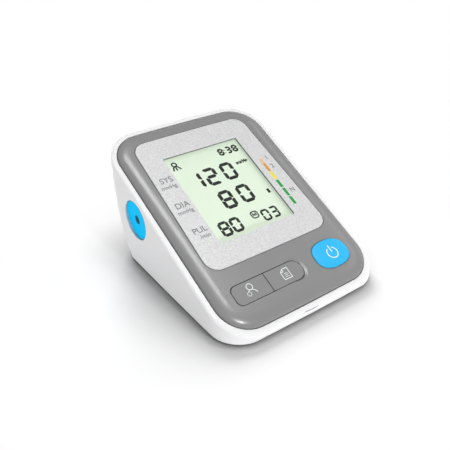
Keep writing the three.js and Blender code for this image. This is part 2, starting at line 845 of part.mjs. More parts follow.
function flatKey(x0, x1, left_corner, right_corner) {
  const low = key_line - keys_half_length + key_clearance;
  const high = key_line + keys_half_length - key_clearance;
  const radii = [left_corner, right_corner, right_corner, left_corner];
  const grow_left = left_corner > split_corner ? key_flange + key_clearance : 0;
  const grow_right = right_corner > split_corner ? key_flange + key_clearance : 0;
  return join(
    prism(rounded(x0, x1, low, high, radii), -flange_top - gap, -cover_top_depth),
    prism(rounded(x0 - grow_left, x1 + grow_right, low - key_flange, high + key_flange, radii),
      -flange_bottom, -flange_top),
  );
}

const user_right = keys_split - key_clearance / 2;
const memory_left = keys_split + key_clearance / 2;
const user_cap = flatKey(keys_left + key_clearance, user_right, key_corner, split_corner);
const memory_cap = flatKey(memory_left, keys_right - key_clearance, split_corner, key_end_corner);
keyGroup('user', (keys_left + user_right) / 2, user_cap, grey_plastic);
keyGroup('memory', (memory_left + keys_right) / 2, memory_cap, grey_plastic);

// Air socket with its lip, dish, plug bore and inner nipple, and the ring nut that holds it.
function turned(profile) {
  const points = profile.map(([radius, z]) => new THREE.Vector2(radius, z));
  points.push(points[0].clone());
  const geometry = new THREE.LatheGeometry(points, rodSides(socket_radius));
  geometry.rotateX(Math.PI / 2);
  return geometry;
}

const nipple_root = -socket_depth - rib;
add(socket, 'air_socket', solid(turned([
  [socket_bore_radius, -socket_dish], [socket_bore_radius, -socket_depth], [nipple_bore, -socket_depth],
  [nipple_bore, nipple_root - nipple_length], [nipple_radius, nipple_root - nipple_length],
  [nipple_radius, nipple_root], [socket_tube_radius, nipple_root], [socket_tube_radius, -socket_flange],
  [socket_radius, -socket_flange], [socket_radius, -gap], [socket_radius - gap, 0],
  [socket_radius - socket_lip, 0], [socket_radius - socket_lip - gap, -socket_dish],
])), socket_plastic);
const nut_front = -socket_boss_depth - gap;
add(socket, 'socket_nut', cut(
  rod(nut_radius, [0, 0, nut_front - nut_thickness], [0, 0, nut_front], nut_sides),
  rod(socket_tube_radius + gap, [0, 0, nut_front - nut_thickness - gap], [0, 0, nut_front + gap]),
), black_plastic);

// Pump on its cradle: head, motor, turning shaft with its eccentric, and a rubber sleeve.
const pump = new THREE.Group();
pump.position.set(0, pump_line, pump_height);
body.add(pump);
const head_right = pump_left + head_length;
const motor_left = head_right + gap;
const cavity_left = pump_left + head_wall;
add(pump, 'pump_head', cut(
  join(
    rod(head_radius, [pump_left, 0, 0], [head_right, 0, 0]),
    rod(nipple_radius, [nozzle_tip, 0, 0], [pump_left + gap, 0, 0]),
  ),
  rod(head_bore, [cavity_left, 0, 0], [head_right + gap, 0, 0]),
  rod(nipple_bore, [nozzle_tip - gap, 0, 0], [cavity_left + gap, 0, 0]),
), natural_plastic);
add(pump, 'pump_motor', cut(
  rod(motor_radius, [motor_left, 0, 0], [motor_left + motor_length, 0, 0]),
  rod(shaft_radius + gap, [motor_left - gap, 0, 0], [motor_left + motor_length / 2, 0, 0]),
), steel);
const eccentric_right = head_right - 2 * gap;
const shaft_end = eccentric_right + shaft_length - eccentric_length;
add(pump, 'pump_shaft', join(
  rod(shaft_radius, [eccentric_right - gap, 0, 0], [shaft_end, 0, 0]),
  rod(eccentric_radius, [eccentric_right - eccentric_length, 0, eccentric_offset],
    [eccentric_right, 0, eccentric_offset]),
), steel);
add(pump, 'pump_sleeve', cut(
  rod(sleeve_radius, [sleeve_left, 0, 0], [sleeve_left + sleeve_length, 0, 0]),
  rod(motor_radius + gap, [sleeve_left - gap, 0, 0], [sleeve_left + sleeve_length + gap, 0, 0]),
), black_rubber);

// Exhaust valve, the tee that joins the air path, and its four hoses.
const tee = tee_size / 2;
add(pump, 'exhaust_valve', cut(
  join(
    box(valve_right - valve_length, valve_right, -valve_width / 2, valve_width / 2, -valve_height / 2,
      valve_height / 2),
    rod(nipple_radius, [valve_right - gap, 0, 0], [valve_right + nipple_length, 0, 0]),
  ),
  rod(nipple_bore, [valve_right - valve_length / 2, 0, 0], [valve_right + nipple_length + gap, 0, 0]),
), black_plastic);
add(pump, 'air_tee', cut(
  join(
    box(tee_x - tee, tee_x + tee, -tee, tee, -tee, tee),
    rod(nipple_radius, [tee_x - tee_reach, 0, 0], [tee_x + tee_reach, 0, 0]),
    rod(nipple_radius, [tee_x, -tee_reach, 0], [tee_x, 0, 0]),
    rod(nipple_radius, [tee_x, 0, 0], [tee_x, 0, tee_reach]),
  ),
  rod(nipple_bore, [tee_x - tee_reach - gap, 0, 0], [tee_x + tee_reach + gap, 0, 0]),
  rod(nipple_bore, [tee_x, -tee_reach - gap, 0], [tee_x, 0, 0]),
  rod(nipple_bore, [tee_x, 0, 0], [tee_x, 0, tee_reach + gap]),
), natural_plastic);

function hose(name, curve, steps) {
  const section = new THREE.Shape().absarc(0, 0, hose_radius, 0, 2 * Math.PI);
  section.holes.push(new THREE.Path().absarc(0, 0, hose_bore, 0, 2 * Math.PI, true));
  const geometry = new THREE.ExtrudeGeometry(section, {
    steps, curveSegments: hose_quarter_steps, extrudePath: curve,
  });
  add(body, name, solid(geometry), clear_hose);
}

// A bent hose: straight over each nipple, with one smooth bend between.
function bentHose(name, start, start_way, end, end_way) {
  const reach = nipple_length + 2 * gap;
  const bend_start = start.clone().addScaledVector(start_way, reach);
  const bend_end = end.clone().addScaledVector(end_way, reach);
  const curve = new THREE.CurvePath();
  curve.add(new THREE.LineCurve3(start, bend_start));
  curve.add(new THREE.CubicBezierCurve3(
    bend_start,
    bend_start.clone().addScaledVector(start_way, hose_bend),
    bend_end.clone().addScaledVector(end_way, hose_bend),
    bend_end,
  ));
  curve.add(new THREE.LineCurve3(bend_end, end));
  hose(name, curve, bent_hose_steps);
}

const hose_end = tee + gap;
hose('pump_hose', new THREE.LineCurve3(
  new THREE.Vector3(tee_x + hose_end, pump_line, pump_height),
  new THREE.Vector3(pump_left - gap, pump_line, pump_height),
), 1);
hose('valve_hose', new THREE.LineCurve3(
  new THREE.Vector3(valve_right + gap, pump_line, pump_height),
  new THREE.Vector3(tee_x - hose_end, pump_line, pump_height),
), 1);
bentHose(
  'socket_hose',
  new THREE.Vector3(tee_x, pump_line - hose_end, pump_height),
  new THREE.Vector3(0, -1, 0),
  new THREE.Vector3(...socketPoint(nipple_root - gap)),
  outward.clone().negate(),
);
bentHose(
  'sensor_hose',
  new THREE.Vector3(tee_x, pump_line, pump_height + hose_end),
  new THREE.Vector3(0, 0, 1),
  panelPoint(sensor_x, sensor_back + gap, sensor_depth),
  new THREE.Vector3(0, Math.cos(slope), Math.sin(slope)),
);

// Battery cells with their contacts, and the sliding cover under them.
const cell_profile = [
  [0, 0], [cell_radius - cell_edge, 0], [cell_radius, cell_edge], [cell_radius, cell_length - cell_edge],
  [cell_radius - cell_edge, cell_length], [nub_radius, cell_length], [nub_radius, cell_length + nub_length],
  [0, cell_length + nub_length],
];

function cellX(index) {
  return (index - (cell_count - 1) / 2) * cell_pitch;
}

for (let index = 0; index < cell_count; index += 1) {
  const points = cell_profile.map(([radius, y]) => new THREE.Vector2(radius, y));
  const cell = add(body, `battery_${index + 1}`, new THREE.LatheGeometry(points, rodSides(cell_radius)),
    cell_wrap);
  const forward = index % 2 === 0;
  const flat_end = seat_gap + spring_length;
  cell.position.set(cellX(index), forward ? bay_front + flat_end : bay_back - flat_end, cell_height);
  cell.rotation.z = forward ? 0 : Math.PI;
}

// A contact plate at one end of the bay, from one cell to another, with a coil under the flat cell ends.
function contact(name, at_front, first, last) {
  const side = at_front ? 1 : -1;
  const face = at_front ? bay_front : bay_back;
  const near = face + side * gap;
  const far = near + side * contact_thickness;
  const half = contact_width / 2;
  const pieces = [box(cellX(first) - half, cellX(last) + half, Math.min(near, far), Math.max(near, far),
    cell_height - contact_height / 2, cell_height + contact_height / 2)];
  for (let index = first; index <= last; index += 1) {
    if ((index % 2 === 0) === at_front) {
      const sides = rodSides(spring_radius);
      const coil = new THREE.CylinderGeometry(spring_tip_radius, spring_radius, spring_length, sides);
      coil.rotateX(at_front ? 0 : Math.PI);
      coil.translate(cellX(index), far + side * (spring_length / 2 - gap / 2), cell_height);
      pieces.push(solid(coil));
    }
  }
  add(body, name, join(...pieces), steel);
}

contact('negative_terminal', true, 0, 0);
contact('front_link', true, 1, 2);
contact('positive_terminal', true, 3, 3);
contact('back_link_left', false, 0, 1);
contact('back_link_right', false, 2, 3);

const door_half = bay_half - gap;
const door_front = bay_front + gap;
const ridge_back = bay_back - 2 * rib;
const door = join(
  box(-door_half, door_half, door_front, opening_end, 0, slide_door_top),
  box(-door_half - door_tongue, door_half + door_tongue, door_front, opening_end, floor_top + gap,
    slide_door_top),
).intersect(case_outer);
const ridges = [];
for (let index = 0; index < grip_ridges; index += 1) {
  const y = ridge_back - 2 * rib * index;
  ridges.push(box(-grip_half, grip_half, y - rib / 2, y, foot_height - gap, foot_height + gap));
}
add(body, 'battery_cover', join(door, ...ridges), white_plastic);

// Rubber feet and case screws.
feet.forEach(({ x, y }, index) => {
  const shape = rodGeometry(foot_radius, [x, y, 0], [x, y, foot_height + foot_seat]);
  add(body, `foot_${index + 1}`, shape, black_rubber);
});
columns.forEach(({ x, y, top }, index) => {
  const seat = top - column_seat - gap;
  add(body, `case_screw_${index + 1}`, join(
    rod(case_screw_head, [x, y, seat - case_screw_head_height], [x, y, seat]),
    rod(case_screw_radius, [x, y, seat - gap], [x, y, top + screw_grip]),
  ), steel);
});

export default monitor;
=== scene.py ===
"""Fine shells, display, keys, air port and finishes of a desk blood pressure monitor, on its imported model.

Lengths are millimetres inside the script and metres in the scene. The panel frame has x across, y up the
slope and z square out of the face. The body frame stands on the table with its front end near y = 0.
"""

import math
from types import SimpleNamespace

import bmesh
import bpy
from bpy.props import FloatProperty, FloatVectorProperty, PointerProperty
from bpy.types import Operator, Panel, PropertyGroup
from mathutils import Matrix, Vector


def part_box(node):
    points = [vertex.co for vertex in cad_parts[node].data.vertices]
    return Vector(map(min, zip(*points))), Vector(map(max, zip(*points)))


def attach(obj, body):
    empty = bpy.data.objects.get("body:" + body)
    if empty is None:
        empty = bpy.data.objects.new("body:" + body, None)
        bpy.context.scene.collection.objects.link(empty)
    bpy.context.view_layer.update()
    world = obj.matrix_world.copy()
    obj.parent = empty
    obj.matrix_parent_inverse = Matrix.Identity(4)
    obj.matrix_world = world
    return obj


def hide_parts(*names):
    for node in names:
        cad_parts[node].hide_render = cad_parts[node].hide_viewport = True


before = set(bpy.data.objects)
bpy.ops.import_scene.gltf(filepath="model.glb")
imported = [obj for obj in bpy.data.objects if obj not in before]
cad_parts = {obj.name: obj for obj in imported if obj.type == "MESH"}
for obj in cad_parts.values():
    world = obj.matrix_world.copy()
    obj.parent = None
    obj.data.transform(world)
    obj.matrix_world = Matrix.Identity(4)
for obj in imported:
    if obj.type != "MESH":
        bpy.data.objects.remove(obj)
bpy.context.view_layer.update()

bl_info = {
    "name": "Desk blood pressure monitor",
    "version": (1, 0, 0),
    "blender": (4, 5, 0),
    "location": "View3D > Sidebar > Monitor",
    "description": "Builds the shells, keys, display, air port and finishes of a blood pressure monitor",
    "category": "Object",
}

MM = 0.001
GAP = 0.3
SLOPE = math.radians(24.6)

# The face plane and the middle of the case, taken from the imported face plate.
PLATE_FRONT_END = 35.0
PLATE_BACK_END = 128.0
plate_low, plate_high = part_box("face_plate")
FACE_HEIGHT = plate_high.z / MM - PLATE_BACK_END * math.sin(SLOPE)
MIDDLE = PLATE_FRONT_END * math.cos(SLOPE) - plate_low.y / MM

BODY = Matrix.Scale(MM, 4) @ Matrix.Translation((0, -MIDDLE, 0))
PANEL = BODY @ Matrix.Translation((0, 0, FACE_HEIGHT)) @ Matrix.Rotation(SLOPE, 4, "X")

# Case
COVER_FRONT = 0.4
COVER_LENGTH = 136.1
FRONT_BOW = 0.5
BACK_BOW = 0.8
RIM_DEPTH = 2.2
RIM_ROLL = 1.4
RIM_LIP = 0.3
RIM_CORNER = 20.4
WALL = 2.2
FOOT_HEIGHT = 1.2
FLOOR_TOP = 3.4
BASE_EDGE = 1.4
BASE_CORNER = 17
BASE_INSET = 0.5
BASE_BOW = 0.5
BACK_UNDERCUT = 15.3
BACK_CURVE = 0.28
LEAST_WALL = 0.3

# Cover, plate and display stack, as depths below the face plane
COVER_TOP = 0.2
COVER_UNDER = 2.4
SKIRT_DEPTH = 4.3
SKIRT_WALL = 2.2
LEDGE_WIDTH = 1.8
LEDGE_TOP = 4.6
LEDGE_BOTTOM = 6.3
PLATE_THICKNESS = 1.2
PLATE_EDGE = 0.3
WINDOW_EDGE = 0.15
LENS_TOP = 1.5
LENS_THICKNESS = 1.0
LENS_MARGIN = 2.5
LENS_EDGE = 0.12
GLASS_TOP = 2.8
INK = 0.04

# Keys
FLANGE_TOP = 2.7
FLANGE_BOTTOM = 3.6
STEM_BOTTOM = 3.8
STEM_RADIUS = 2.6
KEY_LINE = 19.1
KEY_FLANGE = 1.0
KEY_CLEARANCE = 0.35
POWER_CLEARANCE = 0.18

# Smoothness
CORNER_STEPS = 20
SIDE_STEPS = 14
ROUND_STEPS = 8
WALL_STEPS = 26
LEAST_RADIUS = 0.4


def linear(code):
    """Linear colour of a six-digit sRGB code."""
    parts = [((code >> shift) & 255) / 255 for shift in (16, 8, 0)]
    return tuple(p / 12.92 if p <= 0.04045 else ((p + 0.055) / 1.055) ** 2.4 for p in parts)


def length(name, description, millimetres):
    return FloatProperty(name=name, description=description, default=millimetres * MM, unit="LENGTH",
                         precision=5)


def tint(name, description, code):
    return FloatVectorProperty(name=name, description=description, default=linear(code), size=3, min=0,
                               max=1, subtype="COLOR")


class MonitorSizes(PropertyGroup):
    """Sizes that a user would change."""
    cover_width: length("Cover width", "Width of the grey cover", 99.2)
    cover_corner: length("Cover corner", "Corner radius of the grey cover", 17.6)
    rim_width: length("Rim width", "Width of the white rim round the cover", 3.8)
    edge_roll: length("Edge roll", "Width of the cover's rolled edge", 8)
    edge_drop: length("Edge drop", "How far the cover's rolled edge falls", 2.5)
    plate_corner: length("Plate corner", "Corner radius of the silver plate", 8)
    window_width: length("Window width", "Width of the display opening", 51.8)
    window_corner: length("Window corner", "Corner radius of the display opening", 0.8)
    power_width: length("Power key width", "Width of the blue key", 23.0)
    power_length: length("Power key length", "Length of the blue key", 17.1)
    power_rise: length("Power key rise", "Height of the blue key over the face", 0.75)
    keys_left: length("Keys' left end", "Left end of the flat keys' opening", -38)
    keys_right: length("Keys' right end", "Right end of the flat keys' opening", 7.5)
    keys_split: length("Keys' split", "Place of the gap between the flat keys", -15.7)
    keys_length: length("Keys' length", "Length of the flat keys' opening up the slope", 12)
    port_radius: length("Port radius", "Radius of the blue air port", 11.4)
    port_bore: length("Port bore", "Radius of the hole for the cuff's plug", 2.7)
    foot_radius: length("Foot radius", "Radius of a rubber foot", 4.5)


class MonitorColours(PropertyGroup):
    """Colours that a user would change."""
    white: tint("White", "White case", 0xF8F8F9)
    grey: tint("Grey", "Grey cover and flat keys", 0x929292)
    silver: tint("Silver", "Silver plate", 0xE2E2E3)
    display: tint("Display", "Display ground", 0xE2F1DC)
    ink: tint("Segments", "Dark display segments", 0x1E231F)
    legend: tint("Legends", "Printed units beside the display", 0x7C7C7F)
    blue: tint("Blue", "Blue power key", 0x33C0FC)
    port: tint("Port", "Blue air port", 0x00C5FF)
    symbol: tint("Symbols", "White symbols on the keys", 0xF4F8FA)
    rubber: tint("Rubber", "Feet and rubber parts", 0x2A2A2C)


def operators(operation):
    """An operator and its reflected form, each of one Math node."""
    def forward(self, other):
        return self.nodes.node("ShaderNodeMath", {"operation": operation}, {0: self, 1: other})

    def reflected(self, other):
        return self.nodes.node("ShaderNodeMath", {"operation": operation}, {0: other, 1: self})
    return forward, reflected


class Value:
    """A shader's socket, which adds Math nodes when it is used in an expression."""

    def __init__(self, nodes, socket):
        self.nodes = nodes
        self.socket = socket

    __add__, __radd__ = operators("ADD")
    __sub__, __rsub__ = operators("SUBTRACT")
    __mul__, __rmul__ = operators("MULTIPLY")
    __lt__, __gt__ = operators("LESS_THAN")


class Nodes:
    """The nodes of a material or a world."""

    def __init__(self, tree, output):
        self.tree = tree
        tree.nodes.clear()
        self.end = tree.nodes.new(output).inputs["Surface"]

    def put(self, socket, value):
        if isinstance(value, Value):
            self.tree.links.new(value.socket, socket)
        elif isinstance(value, tuple) and socket.type == "RGBA":
            socket.default_value = (*value, 1.0)
        else:
            socket.default_value = value

    def node(self, kind, settings=None, sockets=None, output=0):
        made = self.tree.nodes.new(kind)
        for name, value in (settings or {}).items():
            setattr(made, name, value)
        for name, value in (sockets or {}).items():
            self.put(made.inputs[name], value)
        return Value(self, made.outputs[output])

    def rays(self, *kinds):
        """1 for rays of these kinds and 0 for all others."""
        path = self.tree.nodes.new("ShaderNodeLightPath")
        found, *others = [Value(self, path.outputs[f"Is {kind} Ray"]) for kind in kinds]
        for other in others:
            found = found + other
        return found

    def mix(self, factor, first, second):
        return self.node("ShaderNodeMixShader", None, {0: factor, 1: first, 2: second})


class Finish(Nodes):
    """A procedural material with one Principled shader."""

    def __init__(self, name):
        self.material = bpy.data.materials.new(name)
        self.material.use_nodes = True
        super().__init__(self.material.node_tree, "ShaderNodeOutputMaterial")
        self.shader = self.node("ShaderNodeBsdfPrincipled")
        self.put(self.end, self.shader)
        self.place = self.node("ShaderNodeTexCoord", output="Object")

    def noise(self, scale, detail=2.0, stretch=None):
        place = self.place
        if stretch:
            place = self.node("ShaderNodeVectorMath", {"operation": "MULTIPLY"}, {0: place, 1: stretch})
        return self.node("ShaderNodeTexNoise", None, {"Vector": place, "Scale": scale, "Detail": detail})

    def blend(self, low, high, factor):
        """Blends colours: a Mix node has them at its sockets 6 and 7 and gives the result at 2."""
        return self.node("ShaderNodeMix", {"data_type": "RGBA"}, {0: factor, 6: low, 7: high}, 2)

    def mottle(self, colour, darkest, palest, factor):
        """A colour between two shades of itself."""
        return self.blend(scaled(colour, darkest), scaled(colour, palest), factor)

    def bump(self, height, distance):
        return self.node("ShaderNodeBump", None, {"Height": height, "Distance": distance})

    def openness(self, reach):
        """How open a point lies to its surroundings within a reach, from 0 in a crease to 1."""
        return self.node("ShaderNodeAmbientOcclusion", {"samples": 16}, {"Distance": reach}, "AO")

    def surface(self, **sockets):
        inputs = self.shader.socket.node.inputs
        for name, value in sockets.items():
            self.put(inputs[name.replace("_", " ").title().replace("Ior", "IOR")], value)
        return self.material


WHITE = (1.0, 1.0, 1.0)
MOULD_GRAIN = 4200.0
MOULD_CLOUD = 0.02
# Share of its colour that painted shade leaves in the deepest creases.
PAINTED_CREASE_SHADE = 0.35


def scaled(colour, factor):
    return tuple(min(1.0, part * factor) for part in colour)


def moulded(name, colour, roughness, relief=0.000006, shine=0.5, crease=None, glow=0.0):
    """Moulded plastic: a faint cloudiness, uneven gloss and the mould's fine grain, with painted shade in
    its creases when a crease reach is given and a glow that is painted light.
    """
    finish = Finish(name)
    drift = finish.noise(90.0, 3.0)
    speck = finish.noise(MOULD_GRAIN)
    base_tone = finish.mottle(colour, 1 - MOULD_CLOUD, 1 + MOULD_CLOUD, drift)
    # Painted shade: the colour darkens towards 0.35 of itself where the surface is enclosed within the
    # crease reach.
    if crease:
        bare = finish.openness(crease)
        base_tone = finish.blend(scaled(colour, PAINTED_CREASE_SHADE), base_tone, bare * bare)
    return finish.surface(
        base_color=base_tone,
        roughness=roughness + (drift - 0.5) * 0.08 + (speck - 0.5) * 0.06,
        normal=finish.bump(speck, relief),
        specular_ior_level=shine,
        emission_color=colour,
        emission_strength=glow,
    )


def speckled_silver(name, colour):
    """Silver paint: small bright and dark flakes in a satin coat."""
    finish = Finish(name)
    flake = finish.node("ShaderNodeTexVoronoi", None, {"Vector": finish.place, "Scale": 2300.0}, "Color")
    pick = finish.node("ShaderNodeSeparateColor", None, {0: flake})
    drift = finish.noise(1300.0)
    mixed = pick * 0.5 + drift * 0.5
    return finish.surface(
        base_color=finish.mottle(colour, 0.74, 1.25, mixed),
        metallic=0.12,
        roughness=0.34 + pick * 0.18,
        normal=finish.bump(pick, 0.000004),
    )


def display_ground(name, colour):
    """Reflective display: pale green with a faint vertical shade and a very fine row texture. It also glows:
    partly the backlight's light, partly painted light that evens out the shade of the window's rim on it.
    """
    finish = Finish(name)
    rows = finish.noise(1800.0, 1.0, (1.0, 0.15, 0.15))
    drift = finish.noise(28.0)
    return finish.surface(
        base_color=finish.mottle(colour, 0.46, 0.54, drift * 0.7 + rows * 0.3),
        roughness=0.42 + (rows - 0.5) * 0.1,
        # Glow of the backlight, made strong enough to paint out the window's shade on the display.
        emission_color=colour,
        emission_strength=0.63,
    )


def grained(finish, colour, shades, factor, roughness, spread, grain, relief, metallic=0.0):
    """Mottles a finish between two shades and lets one grain vary its gloss and its surface."""
    return finish.surface(
        base_color=finish.mottle(colour, *shades, factor),
        metallic=metallic,
        roughness=roughness + (grain - 0.5) * spread,
        normal=finish.bump(grain, relief),
    )


def printed(name, colour, roughness=0.5):
    """Printed ink: slightly uneven in colour and thickness."""
    finish = Finish(name)
    grain = finish.noise(2600.0)
    return grained(finish, colour, (0.9, 1.06), grain, roughness, 0.12, grain, 0.000003)


def clear_lens(name):
    """Clear polished plastic: it only adds a reflection, stronger towards grazing sight."""
    finish = Finish(name)
    facing = finish.node("ShaderNodeLayerWeight", None, {"Blend": 0.5}, "Facing")
    square = facing * facing
    smear = finish.noise(45.0)
    return finish.surface(
        base_color=WHITE,
        metallic=1.0,
        roughness=0.05 + smear * 0.03,
        alpha=0.02 + square * square * facing * 0.9,
    )


def rubber(name, colour):
    finish = Finish(name)
    grain = finish.noise(3200.0, 4.0)
    factor = finish.noise(160.0) * 0.6 + grain * 0.4
    return grained(finish, colour, (0.85, 1.35), factor, 0.72, 0.2, grain, 0.00002)


def metal(name, colour, roughness):
    finish = Finish(name)
    lines = finish.noise(2200.0, 3.0)
    return grained(finish, colour, (0.82, 1.08), finish.noise(120.0), roughness, 0.22, lines, 0.000005, 1.0)


def circuit_board(name):
    """Green solder mask with paler tracks and tinned dots."""
    finish = Finish(name)
    tracks = finish.node("ShaderNodeTexBrick", None, {
        "Vector": finish.place, "Scale": 160.0, "Color1": linear(0x1B6B3B), "Color2": linear(0x237A45),
        "Mortar": linear(0x2E8B52), "Mortar Size": 0.03,
    })
    dots = finish.node("ShaderNodeTexVoronoi", None, {"Vector": finish.place, "Scale": 260.0}, "Distance")
    pads = dots < 0.16
    return finish.surface(
        base_color=finish.blend(tracks, linear(0xC9CBC6), pads),
        metallic=pads * 0.8,
        roughness=0.35 + pads * 0.1,
        normal=finish.bump(pads, 0.00003),
    )


def turns(count):
    """Angles of a full turn in even steps."""
    return [2 * math.pi * index / count for index in range(count)]


def arc(x, y, radius, start, end, steps):
    angles = [math.radians(start + (end - start) * step / steps) for step in range(steps + 1)]
    return [Vector((x + radius * math.cos(angle), y + radius * math.sin(angle))) for angle in angles]


# Outlines: each is a function that gives the outline's points, grown by an amount.
def bowed(half, front, back, corner, front_bow, back_bow, half_back=None, side_bow=0.0):
    """Rounded outline with bowed ends and sides, anticlockwise, with as many points at every size."""
    rear = half_back or half
    quarters = ((1, 1, half, front), (1, -1, rear, back), (-1, -1, rear, back), (-1, 1, half, front))

    def ring(grow=0.0):
        radius = max(corner + grow, LEAST_RADIUS)
        corners = []
        for (side, inward, width, end), start in zip(quarters, (-90, 0, 90, 180)):
            x, y = side * (width + grow - radius), end + inward * (radius - grow)
            corners.append(arc(x, y, radius, start, start + 90, CORNER_STEPS))
        points = []
        for this, following in zip(corners, corners[1:] + corners[:1]):
            points += this
            points += [this[-1].lerp(following[0], step / SIDE_STEPS) for step in range(1, SIDE_STEPS)]
        for point in points:
            along = (point.y - front) / (back - front)
            crown = 1 - (point.x / half) ** 2
            point.x += side_bow * (1 - (2 * along - 1) ** 2) * point.x / half
            point.y += (along * back_bow - (1 - along) * front_bow) * crown
        return points
    return ring


def rounded(x0, x1, y0, y1, *radii):
    """Rounded rectangle. Its corner radii run from front left, anticlockwise; one radius serves all four."""
    radii = radii * 4 if len(radii) == 1 else radii
    corners = ((x0, y0, 1, 1, 180), (x1, y0, -1, 1, 270), (x1, y1, -1, -1, 0), (x0, y1, 1, -1, 90))

    def ring(grow=0.0):
        points = []
        for (x, y, right, up, start), radius in zip(corners, radii):
            r = max(radius + grow, 0.05)
            centre = Vector((x + right * (r - grow), y + up * (r - grow)))
            points += [centre + r * point for point in arc(0, 0, 1, start, start + 90, ROUND_STEPS)]
        return points
    return ring


def squircle(x, y, half_width, half_length, squareness=2.5, count=128):
    """Closed curve between an ellipse and a rectangle."""
    def ring(grow=0.0):
        points = []
        for turn in turns(count):
            c, s = math.cos(turn), math.sin(turn)
            points.append(Vector((
                x + (half_width + grow) * math.copysign(abs(c) ** (2 / squareness), c),
                y + (half_length + grow) * math.copysign(abs(s) ** (2 / squareness), s),
            )))
        return points
    return ring


def circle(x, y, radius, count=64):
    return squircle(x, y, radius, radius, 2.0, count)


def grown(ring, amount):
    return lambda grow=0.0: ring(amount + grow)


# Meshes
def flat(points, z):
    return [Vector((p[0], p[1], z)) for p in points]


def loft(rings, closed=False):
    """Closed mesh through rings of points, capped at both ends or joined end to end."""
    mesh = bmesh.new()
    rows = [[mesh.verts.new(point) for point in ring] for ring in rings]
    pairs = list(zip(rows, rows[1:]))
    if closed:
        pairs.append((rows[-1], rows[0]))
    for low, high in pairs:
        for i in range(len(low)):
            j = (i + 1) % len(low)
            mesh.faces.new((low[i], low[j], high[j], high[i]))
    if not closed:
        mesh.faces.new(list(reversed(rows[0])))
        mesh.faces.new(rows[-1])
    return mesh


def prism(points, z0, z1):
    return loft([flat(points, z0), flat(points, z1)])


def rod(x, y, radius, z0, z1, count=64):
    return prism(circle(x, y, radius, count)(), z0, z1)


def block(x0, x1, y0, y1, z0, z1):
    return prism(((x0, y0), (x1, y0), (x1, y1), (x0, y1)), z0, z1)


def lathe(profile, count):
    """Rings of revolution about z, one for each (radius, z) of a profile."""
    return [[Vector((radius * math.cos(turn), radius * math.sin(turn), z)) for turn in turns(count)]
            for radius, z in profile]


def quarter(steps):
    """For each step of a quarter turn, how far it has come in and how far it still has to rise."""
    angles = [math.pi / 2 * step / steps for step in range(steps + 1)]
    return [(1 - math.cos(angle), 1 - math.sin(angle)) for angle in angles]


def rounded_edge(ring, z, radius, steps=5, upward=True, fall=None):
    """Rings of an edge rounded over from a side wall to a flat top at z, or under to a flat bottom."""
    fall = (fall or radius) * (1 if upward else -1)
    rings = [flat(ring(-radius * inward), z - fall * left) for inward, left in quarter(steps)]
    return rings if upward else rings[::-1]


def capped(ring, bottom, top, radius, steps=5, fall=None):
    """Closed mesh with a flat bottom and a rounded top edge."""
    return loft([flat(ring(), bottom), *rounded_edge(ring, top, radius, steps, fall=fall)])


LIP_STEPS = 4


def flared(ring, bottom, edge, lip, top=1):
    """Cutter whose wall opens with a rounded lip as it comes out of a face at height edge."""
    rounding = [flat(ring(lip * inward), edge - lip * left) for inward, left in quarter(LIP_STEPS)]
    return loft([flat(ring(), bottom), *rounding, flat(ring(lip), top)])


def joined(*meshes):
    """One mesh of several closed shells that don't meet."""
    whole = meshes[0]
    for other in meshes[1:]:
        part = bpy.data.meshes.new("part")
        other.to_mesh(part)
        other.free()
        whole.from_mesh(part)
        bpy.data.meshes.remove(part)
    return whole


def placed(name, data):
    """A new object in the scene."""
    made = bpy.data.objects.new(name, data)
    bpy.context.scene.collection.objects.link(made)
    return made


def final_mesh(made):
    """The mesh of an object after its modifiers."""
    bpy.context.view_layer.update()
    return bpy.data.meshes.new_from_object(made.evaluated_get(bpy.context.evaluated_depsgraph_get()))


def loose(shape, matrix):
    """A temporary object in metres from a mesh in millimetres."""
    shape.transform(matrix)
    bmesh.ops.recalc_face_normals(shape, faces=shape.faces)
    mesh = bpy.data.meshes.new("shape")
    shape.to_mesh(mesh)
    shape.free()
    return placed("shape", mesh)


def sloped(shape):
    return loose(shape, PANEL)


def level(shape):
    return loose(shape, BODY)


def apply_modifiers(made):
    old, fresh = made.data, final_mesh(made)
    made.modifiers.clear()
    made.data = fresh
    bpy.data.meshes.remove(old)


def boolean(made, operation, *others):
    for other in others:
        step = made.modifiers.new("boolean", "BOOLEAN")
        step.operation = operation
        step.solver = "MANIFOLD"
        step.object = other
    apply_modifiers(made)
    for other in others:
        mesh = other.data
        bpy.data.objects.remove(other)
        bpy.data.meshes.remove(mesh)
    if not made.data.polygons:
        raise RuntimeError(f"a {operation.lower()} left nothing")
    return made


def piece(name, made, finishes, replaces=(), body="case", sharp=34.0):
    """Names a shape, shades it smoothly, gives it its finish and body, and hides the nodes it stands for."""
    made.name = name
    made.data.name = name
    chosen = [face.material_index for face in made.data.polygons]
    made.data.materials.clear()
    for finish in finishes if isinstance(finishes, (list, tuple)) else [finishes]:
        made.data.materials.append(finish)
    made.data.polygons.foreach_set("material_index", chosen)
    made.data.shade_smooth()
    made.data.set_sharp_from_angle(angle=math.radians(sharp))
    weigh = made.modifiers.new("weigh", "WEIGHTED_NORMAL")
    weigh.keep_sharp = True
    apply_modifiers(made)
    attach(made, body)
    if replaces:
        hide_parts(*replaces)
    return made


def sizes():
    """The user's sizes in millimetres."""
    group = bpy.context.scene.monitor_sizes
    return SimpleNamespace(**{name: getattr(group, name) / MM for name in MonitorSizes.__annotations__})


def paint(name):
    return tuple(getattr(bpy.context.scene.monitor_colours, name))


def span(node):
    """A CAD node's box in the body frame, in millimetres, as (x0, x1, y0, y1, z0, z1)."""
    low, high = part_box(node)
    return (low.x / MM, high.x / MM, low.y / MM + MIDDLE, high.y / MM + MIDDLE, low.z / MM, high.z / MM)


